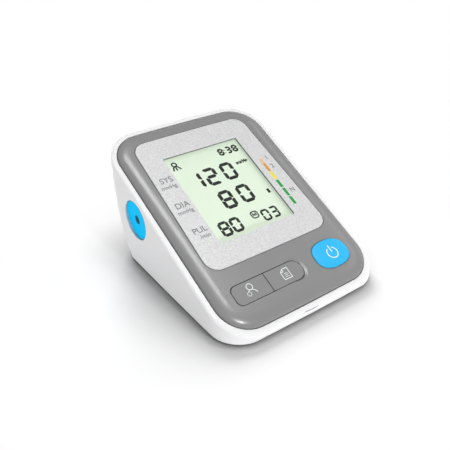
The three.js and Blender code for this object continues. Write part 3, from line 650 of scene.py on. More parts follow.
# Places on the slope
def height_at(y, depth):
    return FACE_HEIGHT + y * math.tan(SLOPE) - depth / math.cos(SLOPE)


def plan_at(along, depth):
    return along * math.cos(SLOPE) + depth * math.sin(SLOPE)


def lifted(points, depth, lowest):
    return [Vector((p.x, p.y, max(height_at(p.y, depth), lowest))) for p in points]


def cover_outline():
    s = sizes()
    half = s.cover_width / 2
    return bowed(half, COVER_FRONT + FRONT_BOW, COVER_FRONT + COVER_LENGTH - BACK_BOW, s.cover_corner,
                 FRONT_BOW, BACK_BOW)


def case_outlines():
    """The rim's outline and the base's, in the body frame."""
    s = sizes()
    half = s.cover_width / 2 + s.rim_width
    front = plan_at(COVER_FRONT + FRONT_BOW - s.rim_width, RIM_DEPTH)
    back = plan_at(COVER_FRONT + COVER_LENGTH - BACK_BOW + s.rim_width, RIM_DEPTH)
    rim = bowed(half, front, back, RIM_CORNER, FRONT_BOW, BACK_BOW)
    base = bowed(half - BASE_INSET, front + 2 * BASE_INSET, back - BACK_UNDERCUT, BASE_CORNER, FRONT_BOW,
                 BACK_BOW, side_bow=BASE_BOW)
    return rim, base


def wall_rings(inset, low, roll_depth):
    """Rings of the side wall from the base's outline up to the rim's, which overhangs it at the back."""
    rim, base = case_outlines()
    starts, ends = base(-inset), rim(-inset)
    rings = []
    for step in range(WALL_STEPS + 1):
        t = step / WALL_STEPS
        near = (1 - t) ** 2
        ring = []
        for start, end in zip(starts, ends):
            top = max(height_at(end.y, roll_depth), low + LEAST_WALL)
            middle = low + BACK_CURVE * (top - low)
            ring.append(Vector((
                near * start.x + (1 - near) * end.x,
                near * start.y + (1 - near) * end.y,
                near * low + 2 * t * (1 - t) * middle + t * t * top,
            )))
        rings.append(ring)
    return rings


def case_body():
    """The case's outer skin: rounded foot edge, wall and rolled rim."""
    rim, base = case_outlines()
    low = FOOT_HEIGHT + BASE_EDGE
    roll = quarter(ROUND_STEPS)
    rings = [flat(base(-BASE_EDGE * left), low - BASE_EDGE * (1 - inward)) for inward, left in roll[:-1]]
    rings += wall_rings(0, low, RIM_DEPTH + RIM_ROLL)
    rings += [lifted(rim(-RIM_ROLL * inward), RIM_DEPTH + RIM_ROLL * left, low + LEAST_WALL)
              for inward, left in roll[1:]]
    return loft(rings)


def case_hollow():
    rim, _ = case_outlines()
    rings = wall_rings(WALL, FLOOR_TOP, RIM_DEPTH + RIM_ROLL)
    rings.append(lifted(rim(-WALL), -RIM_ROLL, FLOOR_TOP + RIM_ROLL))
    reach = 2 * COVER_LENGTH
    below = sloped(block(-reach, reach, -reach, reach, -reach, -LEDGE_BOTTOM))
    return boolean(level(loft(rings)), "INTERSECT", below)


# Port frame: z along the outward axis, from the lip's plane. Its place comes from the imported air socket.
PORT_LEAN = math.radians(2.5)
PORT_FLANGE = 1.6
PORT_DISH = 0.4
PORT_LIP = 0.9
PORT_DEPTH = 12.0
PORT_TUBE = 6.0
PORT_ROOT = 1.6
PORT_NIPPLE = 4
TUBE_REACH = 14
BOSS_WALL = 2.2
BOSS_DEPTH = 6
OUTSIDE = 4
# Width of the port lip's outer edge that takes a darker teal, as painted shade.
PORT_EDGE_SHADE_WIDTH = 0.45
PORT_X = -52.67
PORT_SHIFT = Vector((0, 0.3, -0.85))


def port_matrix():
    _, _, y0, y1, z0, z1 = span("air_socket")
    outward = Vector((-math.cos(PORT_LEAN), math.sin(PORT_LEAN), -math.sin(PORT_LEAN))).normalized()
    centre = Vector((PORT_X, (y0 + y1) / 2, (z0 + z1) / 2)) + PORT_SHIFT
    turn = Vector((0, 0, 1)).rotation_difference(outward).to_matrix().to_4x4()
    return BODY @ Matrix.Translation(centre) @ turn


BAY_WALL = 1.5
CELL_HEADROOM = 0.4
TONGUE = 1.6
SCREW_REACH = 7
SCREW_ROOF = 4
SCREW_WELL = 3.4
SCREW_HOLE = 1.7
COLUMN_RADIUS = 4.6


def four(node):
    """Middle of each of four numbered nodes, with its lower and upper end."""
    spans = [span(f"{node}_{number}") for number in (1, 2, 3, 4)]
    return [((x0 + x1) / 2, (y0 + y1) / 2, z0, z1) for x0, x1, y0, y1, z0, z1 in spans]


def bay_box():
    """Inside of the battery bay, from the door's and the cells' boxes."""
    door = span("battery_cover")
    back = span("back_link_left")[3] + GAP
    return door[1] - TONGUE + GAP, door[2] - GAP, back, span("battery_1")[5] + CELL_HEADROOM


class MONITOR_OT_case(Operator):
    """Builds the white case with its rim, port recess, bay, screw wells and front slit"""
    bl_idname = "monitor.case"
    bl_label = "White case"

    def execute(self, context):
        s = sizes()
        half, front, back, roof = bay_box()
        rail = half + TONGUE + GAP + BAY_WALL
        near, far = front - BAY_WALL, back + BAY_WALL
        tongue_top = span("battery_cover")[5] + GAP
        cover = cover_outline()
        port = port_matrix()
        shell = boolean(level(case_body()), "DIFFERENCE", case_hollow(),
                        sloped(prism(cover(-LEDGE_WIDTH), -LEDGE_BOTTOM - GAP, 0)))
        parts = [
            level(block(-rail, rail, near, far, FLOOR_TOP - GAP, tongue_top + BAY_WALL)),
            loose(rod(0, 0, s.port_radius + BOSS_WALL, -BOSS_DEPTH, PORT_FLANGE), port),
            *(level(rod(x, y, COLUMN_RADIUS, FOOT_HEIGHT, high - SCREW_REACH))
              for x, y, _, high in four("case_screw")),
        ]
        inner = level(block(-half - BAY_WALL, half + BAY_WALL, near, far, FLOOR_TOP - GAP, roof + BAY_WALL))
        boolean(inner, "UNION", *parts)
        boolean(shell, "UNION", boolean(inner, "INTERSECT", level(case_body())))
        reach = 2 * WALL + far
        holes = [
            sloped(flared(grown(cover, GAP), -LEDGE_TOP, -RIM_DEPTH, RIM_LIP, COVER_LENGTH)),
            level(block(-half, half, front, back, 0, roof)),
            level(block(-half, half, front, reach, 0, FLOOR_TOP + GAP)),
            level(block(-half - TONGUE, half + TONGUE, front, reach, FLOOR_TOP, tongue_top)),
            loose(rod(0, 0, s.port_radius + GAP, -PORT_FLANGE - GAP, OUTSIDE, 128), port),
            loose(rod(0, 0, PORT_TUBE + GAP, -TUBE_REACH, OUTSIDE), port),
            level(front_slit()),
        ]
        for x, y, _, high in four("case_screw"):
            holes.append(level(rod(x, y, SCREW_HOLE, 0, high)))
            holes.append(level(rod(x, y, SCREW_WELL, 0, high - SCREW_REACH - SCREW_ROOF)))
        for x, y, _, top in four("foot"):
            holes.append(level(rod(x, y, s.foot_radius + GAP, 0, top + GAP)))
        boolean(shell, "DIFFERENCE", *holes)
        white = moulded("white_plastic", paint("white"), 0.36)
        piece("white_case", shell, white, ["base_housing"])
        return {"FINISHED"}


SLIT_LEFT = -7.2
SLIT_RIGHT = 2.6
SLIT_HEIGHT = 0.7
SLIT_ROUND = SLIT_HEIGHT / 2.01
SLIT_DEPTH = 1.5


def front_slit():
    """A shallow slit with round ends in the front wall, where the cover is prised off."""
    wall = min(point.y for point in case_outlines()[0]())
    low = height_at(wall, RIM_DEPTH) - RIM_ROLL / 2
    ends = rounded(SLIT_LEFT, SLIT_RIGHT, low, low + SLIT_HEIGHT, SLIT_ROUND)()
    return loft([[Vector((p.x, y, p.y)) for p in ends] for y in (wall + SLIT_DEPTH, wall - 1)])


# Cover's front notch, the lips of its openings and the scoop past the flat keys
NOTCH_HALF = 1.5
NOTCH_DEPTH = 0.3
PLATE_LIP = 0.15
KEY_LIP = 0.12
DISH_WIDTH = 2.1
DISH_DEPTH = 0.38
DISH_START = 8
DISH_STEPS = 6
COVER_STEPS = 26
POWER_MIDDLE = 28.7
KEYS_CORNERS = (3.5, 5, 5, 3.5)

# Plate and window along the slope
PLATE_HALF_FRONT = 41
PLATE_HALF_BACK = 38.9
PLATE_ENDS = (36, 127.6)
PLATE_BOWS = (0.3, 0.4)
WINDOW_ENDS = (49.7, 112.8)
WINDOW_REACH = 0.2


def key_shapes():
    """The power key's outline and the long opening of the flat keys."""
    s = sizes()
    power = squircle(POWER_MIDDLE, KEY_LINE, s.power_width / 2, s.power_length / 2)
    half = s.keys_length / 2
    return power, rounded(s.keys_left, s.keys_right, KEY_LINE - half, KEY_LINE + half, *KEYS_CORNERS)


def plate_outline():
    return bowed(PLATE_HALF_FRONT, *PLATE_ENDS, sizes().plate_corner, *PLATE_BOWS, PLATE_HALF_BACK)


def window_outline(margin=0.0, corner=None):
    s = sizes()
    half = s.window_width / 2 + margin
    corner = s.window_corner if corner is None else corner
    return rounded(-half, half, WINDOW_ENDS[0] - margin, WINDOW_ENDS[1] + margin, corner)


def end_dish():
    """Cutter for the shallow scoop past the flat keys' right end, deepest at the key's edge."""
    s = sizes()
    half = s.keys_length / 2
    ring = rounded(s.keys_right - DISH_START, s.keys_right, KEY_LINE - half, KEY_LINE + half, 0.1,
                   *KEYS_CORNERS[1:3], 0.1)
    rings = [flat(ring(-0.2), -COVER_TOP - DISH_DEPTH - 0.2), flat(ring(0.05), -COVER_TOP - DISH_DEPTH)]
    for step in range(1, DISH_STEPS + 1):
        share = step / DISH_STEPS
        rings.append(flat(ring(DISH_WIDTH * share), -COVER_TOP - DISH_DEPTH * (1 - share)))
    return loft([*rings, flat(ring(DISH_WIDTH), 1)])


class MONITOR_OT_cover(Operator):
    """Builds the grey cover with its rolled edge and its openings"""
    bl_idname = "monitor.cover"
    bl_label = "Grey cover"

    def execute(self, context):
        s = sizes()
        cover = cover_outline()
        top = capped(cover, -SKIRT_DEPTH, -COVER_TOP, s.edge_roll, COVER_STEPS, s.edge_drop)
        hollow = loft([
            flat(cover(-SKIRT_WALL), -SKIRT_DEPTH - GAP),
            flat(cover(-SKIRT_WALL), -COVER_UNDER - s.edge_drop / 3),
            flat(cover(-SKIRT_WALL - s.edge_roll / 3), -COVER_UNDER),
        ])
        power, keys = key_shapes()
        under = -COVER_UNDER - GAP
        notch = rounded(-NOTCH_HALF, NOTCH_HALF, -NOTCH_DEPTH - 1, NOTCH_DEPTH, NOTCH_DEPTH)
        holes = [
            hollow,
            flared(grown(plate_outline(), GAP), -LENS_TOP, -COVER_TOP, PLATE_LIP),
            prism(window_outline(LENS_MARGIN)(GAP), under, 1),
            flared(grown(power, POWER_CLEARANCE), under, -COVER_TOP, KEY_LIP),
            flared(keys, under, -COVER_TOP, KEY_LIP),
            end_dish(),
            prism(notch(), -SKIRT_DEPTH - GAP, 0),
        ]
        shell = boolean(sloped(top), "DIFFERENCE", *map(sloped, holes))
        # The crease reach paints shade into the cover's creases, such as the groove along its rolled edge.
        grey = moulded("grey_plastic", paint("grey"), 0.235, relief=0.000002, shine=1.0, crease=0.006)
        piece("grey_cover", shell, grey, ["top_cover"], sharp=40.0)
        return {"FINISHED"}


class MONITOR_OT_plate(Operator):
    """Builds the silver plate round the display and the clear window under it"""
    bl_idname = "monitor.plate"
    bl_label = "Silver plate and window"

    def execute(self, context):
        sheet = capped(plate_outline(), -PLATE_THICKNESS, 0, PLATE_EDGE)
        opening = flared(window_outline(), -PLATE_THICKNESS - GAP, 0, WINDOW_EDGE)
        plate = boolean(sloped(sheet), "DIFFERENCE", sloped(opening))
        silver = speckled_silver("silver_plate", paint("silver"))
        dark = moulded("window_edge", linear(0x6C706E), 0.5)
        inverse = PANEL.inverted()
        half = sizes().window_width / 2 + WINDOW_EDGE
        # The opening's side walls are darker than its rounded lip.
        for face in plate.data.polygons:
            x, y, z = inverse @ face.center
            if abs(x) < half and WINDOW_ENDS[0] - WINDOW_REACH < y < WINDOW_ENDS[1] + WINDOW_REACH:
                face.material_index = int(z < -WINDOW_EDGE)
        piece("silver_face", plate, [silver, dark], ["face_plate"])
        ring = window_outline(LENS_MARGIN, 1.0)
        lens = loft([*rounded_edge(ring, -LENS_TOP - LENS_THICKNESS, LENS_EDGE, 3, False),
                     *rounded_edge(ring, -LENS_TOP, LENS_EDGE, 3)])
        piece("window_lens", sloped(lens), clear_lens("clear_plastic"), ["display_window"])
        return {"FINISHED"}


# The segments that each digit lights
LIT = {"0": "abcdef", "1": "bc", "2": "abged", "3": "abgcd", "8": "abcdefg"}


def segments(width, height, stroke):
    """Outlines of a digit's seven segments in its own box, from (0, 0) to (width, height)."""
    gap = 0.06 * (stroke - 1)
    corner = stroke * 0.88
    notch = stroke * 0.14
    half, middle, bar_end = stroke / 2, height / 2, stroke + gap
    outer, inner = (corner + gap) / 2, (corner - gap) / 2
    top = [(corner, height), (outer, height - inner), (bar_end, height - stroke),
           (width - bar_end, height - stroke), (width - outer, height - inner), (width - corner, height)]
    left = [(0, height - corner), (0, middle + notch), (half - notch, middle + notch),
            (stroke, middle + half + gap), (stroke, height - bar_end), (inner, height - outer)]
    bar = [(half + gap, middle), (bar_end, middle - half), (width - bar_end, middle - half),
           (width - half - gap, middle), (width - bar_end, middle + half), (bar_end, middle + half)]
    across = lambda points: [(width - x, y) for x, y in reversed(points)]
    down = lambda points: [(x, height - y) for x, y in reversed(points)]
    return {"a": top, "f": left, "b": across(left), "e": down(left), "c": down(across(left)),
            "d": down(top), "g": bar}


def inked(points, z=0):
    """A flat printed shape on a face at height z."""
    return prism(points, z - INK, z + INK)


def digit(symbol, x, y, width, height, stroke, z):
    shapes = segments(width, height, stroke)
    return [inked([(x + px, y + py) for px, py in shapes[name]], z) for name in LIT[symbol]]


LEAST_MITRE = 0.35
CAPITAL_SHARE = 0.69
HOOP_STEPS = 40


def ribbon(points, width, z, closed=False):
    """A printed line of even width along a list of points."""
    points = [Vector(p) for p in points]
    count = len(points)
    left, right = [], []
    for i, point in enumerate(points):
        before = points[i - 1] if i > 0 or closed else point
        after = points[(i + 1) % count] if i < count - 1 or closed else point
        first = (point - before).normalized() if point != before else (after - point).normalized()
        second = (after - point).normalized() if after != point else first
        side = Vector((-first.y - second.y, first.x + second.x)).normalized()
        reach = width / 2 / max(LEAST_MITRE, side.dot(Vector((-second.y, second.x))))
        left.append(point + side * reach)
        right.append(point - side * reach)
    low, high = z - INK, z + INK
    return loft([[Vector((*a, low)), Vector((*b, low)), Vector((*b, high)), Vector((*a, high))]
                 for a, b in zip(left, right)], closed)


def hoop(x, y, radius, width, z):
    return ribbon(arc(x, y, radius, 0, 360, HOOP_STEPS)[:-1], width, z, True)


def words(text, x, y, height, z, right=False, weight=0.02):
    """Plain printed text whose capitals are that high, starting or ending at x, thickened by its weight."""
    curve = bpy.data.curves.new("words", "FONT")
    curve.body = text
    curve.size = height / CAPITAL_SHARE
    curve.extrude = INK
    curve.offset = weight
    curve.align_x = "RIGHT" if right else "LEFT"
    holder = placed("words", curve)
    mesh = final_mesh(holder)
    bpy.data.objects.remove(holder)
    bpy.data.curves.remove(curve)
    shape = bmesh.new()
    shape.from_mesh(mesh)
    bpy.data.meshes.remove(mesh)
    bmesh.ops.remove_doubles(shape, verts=shape.verts, dist=0.001)
    shape.transform(Matrix.Translation((x, y, z)))
    return shape


# What the display shows: text, left end, lower end, digit width, height and stroke, on the glass
SIGHT = Matrix.Translation((1.7, 1.4, 0))
READINGS = [
    ("1", -19.2, 85.2, 7.7, 13.0, 2.2), ("2", -9.5, 85.2, 8.7, 13.0, 2.2), ("0", 2.6, 85.2, 8.7, 13.0, 2.2),
    ("8", -9.9, 67.2, 8.7, 13.0, 2.2), ("0", 2.6, 67.2, 8.7, 13.0, 2.2),
    ("8", -21.7, 51.8, 6.7, 9.9, 1.75), ("0", -14.2, 51.8, 6.7, 9.9, 1.75),
    ("0", 6.9, 51.7, 5.3, 7.9, 1.3), ("3", 13.1, 51.7, 5.3, 7.9, 1.3),
    ("8", 8.7, 103.3, 3.9, 5.6, 1.3), ("3", 14.3, 103.3, 3.9, 5.6, 1.3), ("8", 18.9, 103.3, 3.9, 5.6, 1.3),
]
GLASS_ENDS = (48.1, 114.4)
GLASS_THICKNESS = 2.3


def person(x, y, size, width, z):
    """Pictogram of a person: a ring for the head over two shoulders and a body line."""
    neck = y + 0.06 * size
    lines = [
        [(x - 0.06 * size, neck), (x - 0.24 * size, neck - 0.12 * size), (x - 0.4 * size, y - 0.44 * size)],
        [(x + 0.06 * size, neck), (x + 0.26 * size, neck - 0.14 * size), (x + 0.46 * size, y - 0.42 * size)],
        [(x, neck - 0.12 * size), (x, y - 0.46 * size)],
    ]
    return [hoop(x, y + 0.3 * size, 0.24 * size, width, z), *(ribbon(line, width, z) for line in lines)]


class MONITOR_OT_display(Operator):
    """Builds the display glass with its digits and signs"""
    bl_idname = "monitor.display"
    bl_label = "Display"

    def execute(self, context):
        ring = rounded(*span("lcd_glass")[:2], *GLASS_ENDS, 0.2)
        glass = capped(ring, -GLASS_TOP - GLASS_THICKNESS, -GLASS_TOP, 0.08, 2)
        ground = display_ground("display_green", paint("display"))
        piece("display_glass", sloped(glass), ground, ["lcd_glass"])
        z = -GLASS_TOP
        shapes = [segment for reading in READINGS for segment in digit(*reading, z)]
        shapes += [inked(rounded(13.0, 13.7, y - 0.35, y + 0.35, 0.1)(), z) for y in (104.6, 106.9)]
        shapes += person(-21.8, 105.6, 5.8, 0.95, z)
        badge = rounded(0.9, 5.2, 56.2, 60.6, 1.3)
        shapes += [
            words("mmHg", 14.8, 94.3, 2.05, z, weight=0.24),
            inked(rounded(20.6, 22.4, 68.3, 71.4, 0.15)(), z),
            ribbon(badge(), 0.75, z, True),
            ribbon([(1.9, 57.4), (2.1, 59.5), (3.05, 57.9), (4.0, 59.5), (4.2, 57.4)], 0.62, z),
        ]
        ink = printed("display_ink", paint("ink"), 0.45)
        piece("display_segments", loose(joined(*shapes), PANEL @ SIGHT), ink)
        return {"FINISHED"}


# Printed units with their lower end and height, the signs beside the scale with their place and height, the
# scale's left end, right end and drop between them, and its bars
LEGEND_END = -27.8
LEGENDS = [
    ("SYS", 96.6, 3.7), ("mmHg", 92.4, 2.5), ("DIA", 78.1, 3.7), ("mmHg", 74.1, 2.5), ("PUL", 60.1, 3.5),
    ("/min", 56.2, 2.5),
]
SCALE_SIGNS = [("2", 34.0, 83.6, 3.0), ("1", 34.2, 90.6, 3.0), ("N", 34.0, 63.6, 3.1)]
SCALE_ENDS = (30, 31.9, 0.4)
SCALE = [
    ("scale_orange", 0xE3A23A, [(82.2, 88.6)]),
    ("scale_yellow", 0xFBEE3E, [(75.6, 81.5)]),
    ("scale_green", 0x1FA548, [(69.0, 74.8), (62.2, 68.1), (55.6, 61.4)]),
    ("scale_pale", 0xF2C79A, [(89.0, 92.6)]),
]


class MONITOR_OT_legends(Operator):
    """Prints the units beside the display and the coloured scale at its right"""
    bl_idname = "monitor.legends"
    bl_label = "Printed legends"

    def execute(self, context):
        shapes = [words(text, LEGEND_END, y, height, 0, True) for text, y, height in LEGENDS]
        shapes += [words(text, x, y, height, 0) for text, x, y, height in SCALE_SIGNS]
        piece("unit_legends", sloped(joined(*shapes)), printed("legend_ink", paint("legend")))
        left, right, drop = SCALE_ENDS
        for name, code, stretches in SCALE:
            cells = [inked([(left, low), (right, low - drop), (right, high - drop), (left, high)])
                     for low, high in stretches]
            piece(name, sloped(joined(*cells)), printed(name + "_ink", linear(code)))
        return {"FINISHED"}


def stem(x):
    return rod(x, KEY_LINE, STEM_RADIUS, -STEM_BOTTOM, -FLANGE_BOTTOM + GAP, 32)


POWER_CROWN = 4.5
POWER_EDGE = 0.75
POWER_STEPS = 14
SIGN_PLACE = (29.3, 18.6)
SIGN_RADIUS = 3.35
SIGN_ARC = (118, 422, 60)
SIGN_BAR = (0.3, 4.9)
SIGN_STROKE = 0.58


class MONITOR_OT_power_key(Operator):
    """Builds the raised blue key and its white power sign"""
    bl_idname = "monitor.power_key"
    bl_label = "Power key"

    def execute(self, context):
        z = sizes().power_rise
        power, _ = key_shapes()
        cap = capped(power, -FLANGE_TOP - GAP, z, POWER_CROWN, POWER_STEPS, POWER_EDGE)
        flange = prism(power(KEY_FLANGE), -FLANGE_BOTTOM, -FLANGE_TOP)
        key = boolean(sloped(cap), "UNION", sloped(flange), sloped(stem(POWER_MIDDLE)))
        blue = moulded("blue_plastic", paint("blue"), 0.38)
        piece("power_key_cap", key, blue, ["power_button"], "power_key", 50.0)
        x, y = SIGN_PLACE
        sign = joined(ribbon(arc(x, y, SIGN_RADIUS, *SIGN_ARC), SIGN_STROKE, z),
                      ribbon([(x, y + end) for end in SIGN_BAR], SIGN_STROKE, z))
        white = printed("symbol_ink", paint("symbol"))
        piece("power_sign", sloped(sign), white, (), "power_key")
        return {"FINISHED"}


FINE_STROKE = 0.42
SOFT_CORNER = 0.4
FLAT_EDGE = 0.2
# Share of the cover's grey that the flat keys keep: painted shade for keys that sit in the cover's opening.
PAINTED_KEY_SHADE = 0.94
ROW_STROKE = 0.32
DOT_RADIUS = 0.29


class MONITOR_OT_flat_keys(Operator):
    """Builds the two flat grey keys and their white signs"""
    bl_idname = "monitor.flat_keys"
    bl_label = "Flat keys"

    def flat_key(self, body, x0, x1, corners, finish):
        half = sizes().keys_length / 2 - KEY_CLEARANCE
        low, high = KEY_LINE - half, KEY_LINE + half
        ring = rounded(x0, x1, low, high, *corners)
        left, right = [KEY_FLANGE + KEY_CLEARANCE if corner > SOFT_CORNER else 0 for corner in corners[:2]]
        cap = capped(ring, -FLANGE_TOP - GAP, -COVER_TOP, FLAT_EDGE, 4)
        flange = rounded(x0 - left, x1 + right, low - KEY_FLANGE, high + KEY_FLANGE, *corners)
        key = boolean(sloped(cap), "UNION", sloped(prism(flange(), -FLANGE_BOTTOM, -FLANGE_TOP)),
                      sloped(stem((x0 + x1) / 2)))
        node = body.replace("key", "button")
        piece(f"{body}_cap", key, finish, [node], body, 40.0)

    def execute(self, context):
        s = sizes()
        # The flat keys are a darker copy of the cover's grey: painted shade.
        grey = moulded("key_plastic", scaled(paint("grey"), PAINTED_KEY_SHADE), 0.4, relief=0.000004)
        self.flat_key("user_key", s.keys_left + KEY_CLEARANCE, s.keys_split - KEY_CLEARANCE / 2,
                      (KEYS_CORNERS[0], SOFT_CORNER, SOFT_CORNER, KEYS_CORNERS[3]), grey)
        self.flat_key("memory_key", s.keys_split + KEY_CLEARANCE / 2, s.keys_right - KEY_CLEARANCE,
                      (SOFT_CORNER, KEYS_CORNERS[1], KEYS_CORNERS[2], SOFT_CORNER), grey)
        ink = printed("key_symbol_ink", paint("symbol"))
        z = -COVER_TOP
        user = [hoop(-26.8, 21.2, 1.75, FINE_STROKE, z),
                ribbon([(-26.2, 19.5), (-24.9, 18.4), (-24.1, 17.0)], FINE_STROKE, z),
                ribbon([(-27.8, 19.6), (-28.6, 18.9)], FINE_STROKE, z)]
        dots = arc(-29.0, 17.6, 1.15, 0, 360, 8)[:-1]
        user += [inked(circle(x, y, DOT_RADIUS, 12)(), z) for x, y in dots]
        page = [(-4.6, 22.4), (-6.3, 20.8), (-6.3, 16.3), (-1.3, 16.3), (-1.3, 22.4)]
        memory = [ribbon(page, FINE_STROKE, z, True),
                  ribbon([(-4.6, 22.4), (-4.6, 20.8), (-6.3, 20.8)], FINE_STROKE, z)]
        memory += [ribbon([(-4.9, y), (-2.6, y)], ROW_STROKE, z) for y in (19.6, 18.6, 17.6)]
        for name, shapes in (("user", user), ("memory", memory)):
            piece(f"{name}_sign", sloped(joined(*shapes)), ink, (), f"{name}_key")
        return {"FINISHED"}


class MONITOR_OT_port(Operator):
    """Builds the blue air port with its lip, dish and bore"""
    bl_idname = "monitor.port"
    bl_label = "Air port"

    def execute(self, context):
        s = sizes()
        radius, bore = s.port_radius, s.port_bore
        root = -PORT_DEPTH - PORT_ROOT
        tip = root - PORT_NIPPLE
        inner = radius - PORT_LIP
        profile = [
            (bore + 0.25, -PORT_DISH), (bore + 0.07, -PORT_DISH - 0.07), (bore, -PORT_DISH - 0.3),
            (bore, -PORT_DEPTH), (0.5, -PORT_DEPTH), (0.5, tip), (1.0, tip), (1.0, root), (PORT_TUBE, root),
            (PORT_TUBE, -PORT_FLANGE), (radius, -PORT_FLANGE), (radius, -0.3), (radius - 0.09, -0.09),
            (radius - 0.3, 0), (inner, 0), (inner - 0.15, -0.08), (inner - 0.3, -PORT_DISH + 0.08),
            (inner - 0.5, -PORT_DISH),
        ]
        cup = loft(lathe(profile, 128), True)
        for face in cup.faces:
            centre = face.calc_center_median()
            wide = centre.xy.length
            # Painted shade and light: the bore's wall takes a greyer blue than the port, standing in for how
            # light falls inside the hole.
            if wide < bore + 0.05 and centre.z < -PORT_DISH:
                face.material_index = 2
            # Painted shade: the outer edge of the lip takes a darker teal.
            elif wide > radius - PORT_EDGE_SHADE_WIDTH and centre.z > -PORT_FLANGE:
                face.material_index = 1
        # The port's blue glows a little: painted light that brightens it.
        blue = moulded("port_plastic", paint("port"), 0.6, shine=0.1, glow=0.2)
        # Darker teal of the lip's edge: painted shade.
        edge = moulded("port_edge", linear(0x1B93AE), 0.5)
        # Greyer blue of the bore's wall: painted shade and light inside the hole.
        dark = moulded("port_bore", linear(0x86C0D2), 0.6, shine=0.2)
        piece("port_cup", loose(cup, port_matrix()), [blue, edge, dark], ["air_socket"])
        return {"FINISHED"}


# Battery door: its blank reaches out through the back wall, and its arrow is set by the bay's back end
DOOR_BLANK = 10
RIDGES = 4
RIDGE_PITCH = 3.2
RIDGE_SHIFT = 0.4
RIDGE_HALF = 10
RIDGE_SPREAD = 0.8
RIDGE_ROOT = 0.3
ARROW = ((-3.2, -29), (3.2, -29), (0, -24))
ARROW_DEPTH = 0.4

# Feet, and case screws with the radii of their head, shank and point
FOOT_EDGE = 0.5
SEAT_EDGE = 0.1
SCREW_RADII = (2.8, 1.4, 0.3)
HEAD_EDGE = 0.8
HEAD_HEIGHT = 1.8
SHANK_TIP = 1.5
CROSS = ((1.5, 0.3), (0.3, 1.5))
CROSS_DEPTH = 1.1

# Cells, standing on their flat end: the wrap's insets with heights, then the top's radii with heights
CAN_FOOT = 0.3
CAN_INSET = 1.2
BAND_START = 34
CAP_START = 48.85
CELL_WRAP = [
    (1.6, 0), (0.5, 0), (0.12, 0.14), (0, 0.5), (0, BAND_START), (0, 48.7), (0.12, 49.05), (0.5, 49.2),
    (1.3, 49.2), (1.5, 48.9),
]
CELL_TOP = [(2.9, 48.9), (2.6, 49.2), (2.6, 49.9), (2.3, 50.2)]

# Contacts: node, the cell that its spring touches, and the way the spring points along y
SHEET = 0.5
WIRE = 0.3
WIRE_SIDES = 10
COIL_STEPS = 24
SPRING_TURNS = 4
SPRING_ENDS = (3.3, 2)
SPRING_ROOM = 0.5
CONTACTS = [
    ("negative_terminal", 1, 1), ("front_link", 3, 1), ("back_link_left", 2, -1), ("back_link_right", 4, -1),
]


def coil(x, y, z, reach):
    """Wire spring along y that narrows from one radius to the other."""
    start, end = SPRING_ENDS
    steps = COIL_STEPS * SPRING_TURNS
    rings = []
    for step in range(steps + 1):
        share = step / steps
        angle = 2 * math.pi * SPRING_TURNS * share
        out = Vector((math.cos(angle), 0, math.sin(angle)))
        centre = Vector((x, y + reach * share, z)) + (start + (end - start) * share) * out
        rings.append([centre + WIRE * (math.cos(turn) * out + math.sin(turn) * Vector((0, 1, 0)))
                      for turn in turns(WIRE_SIDES)])
    return loft(rings)


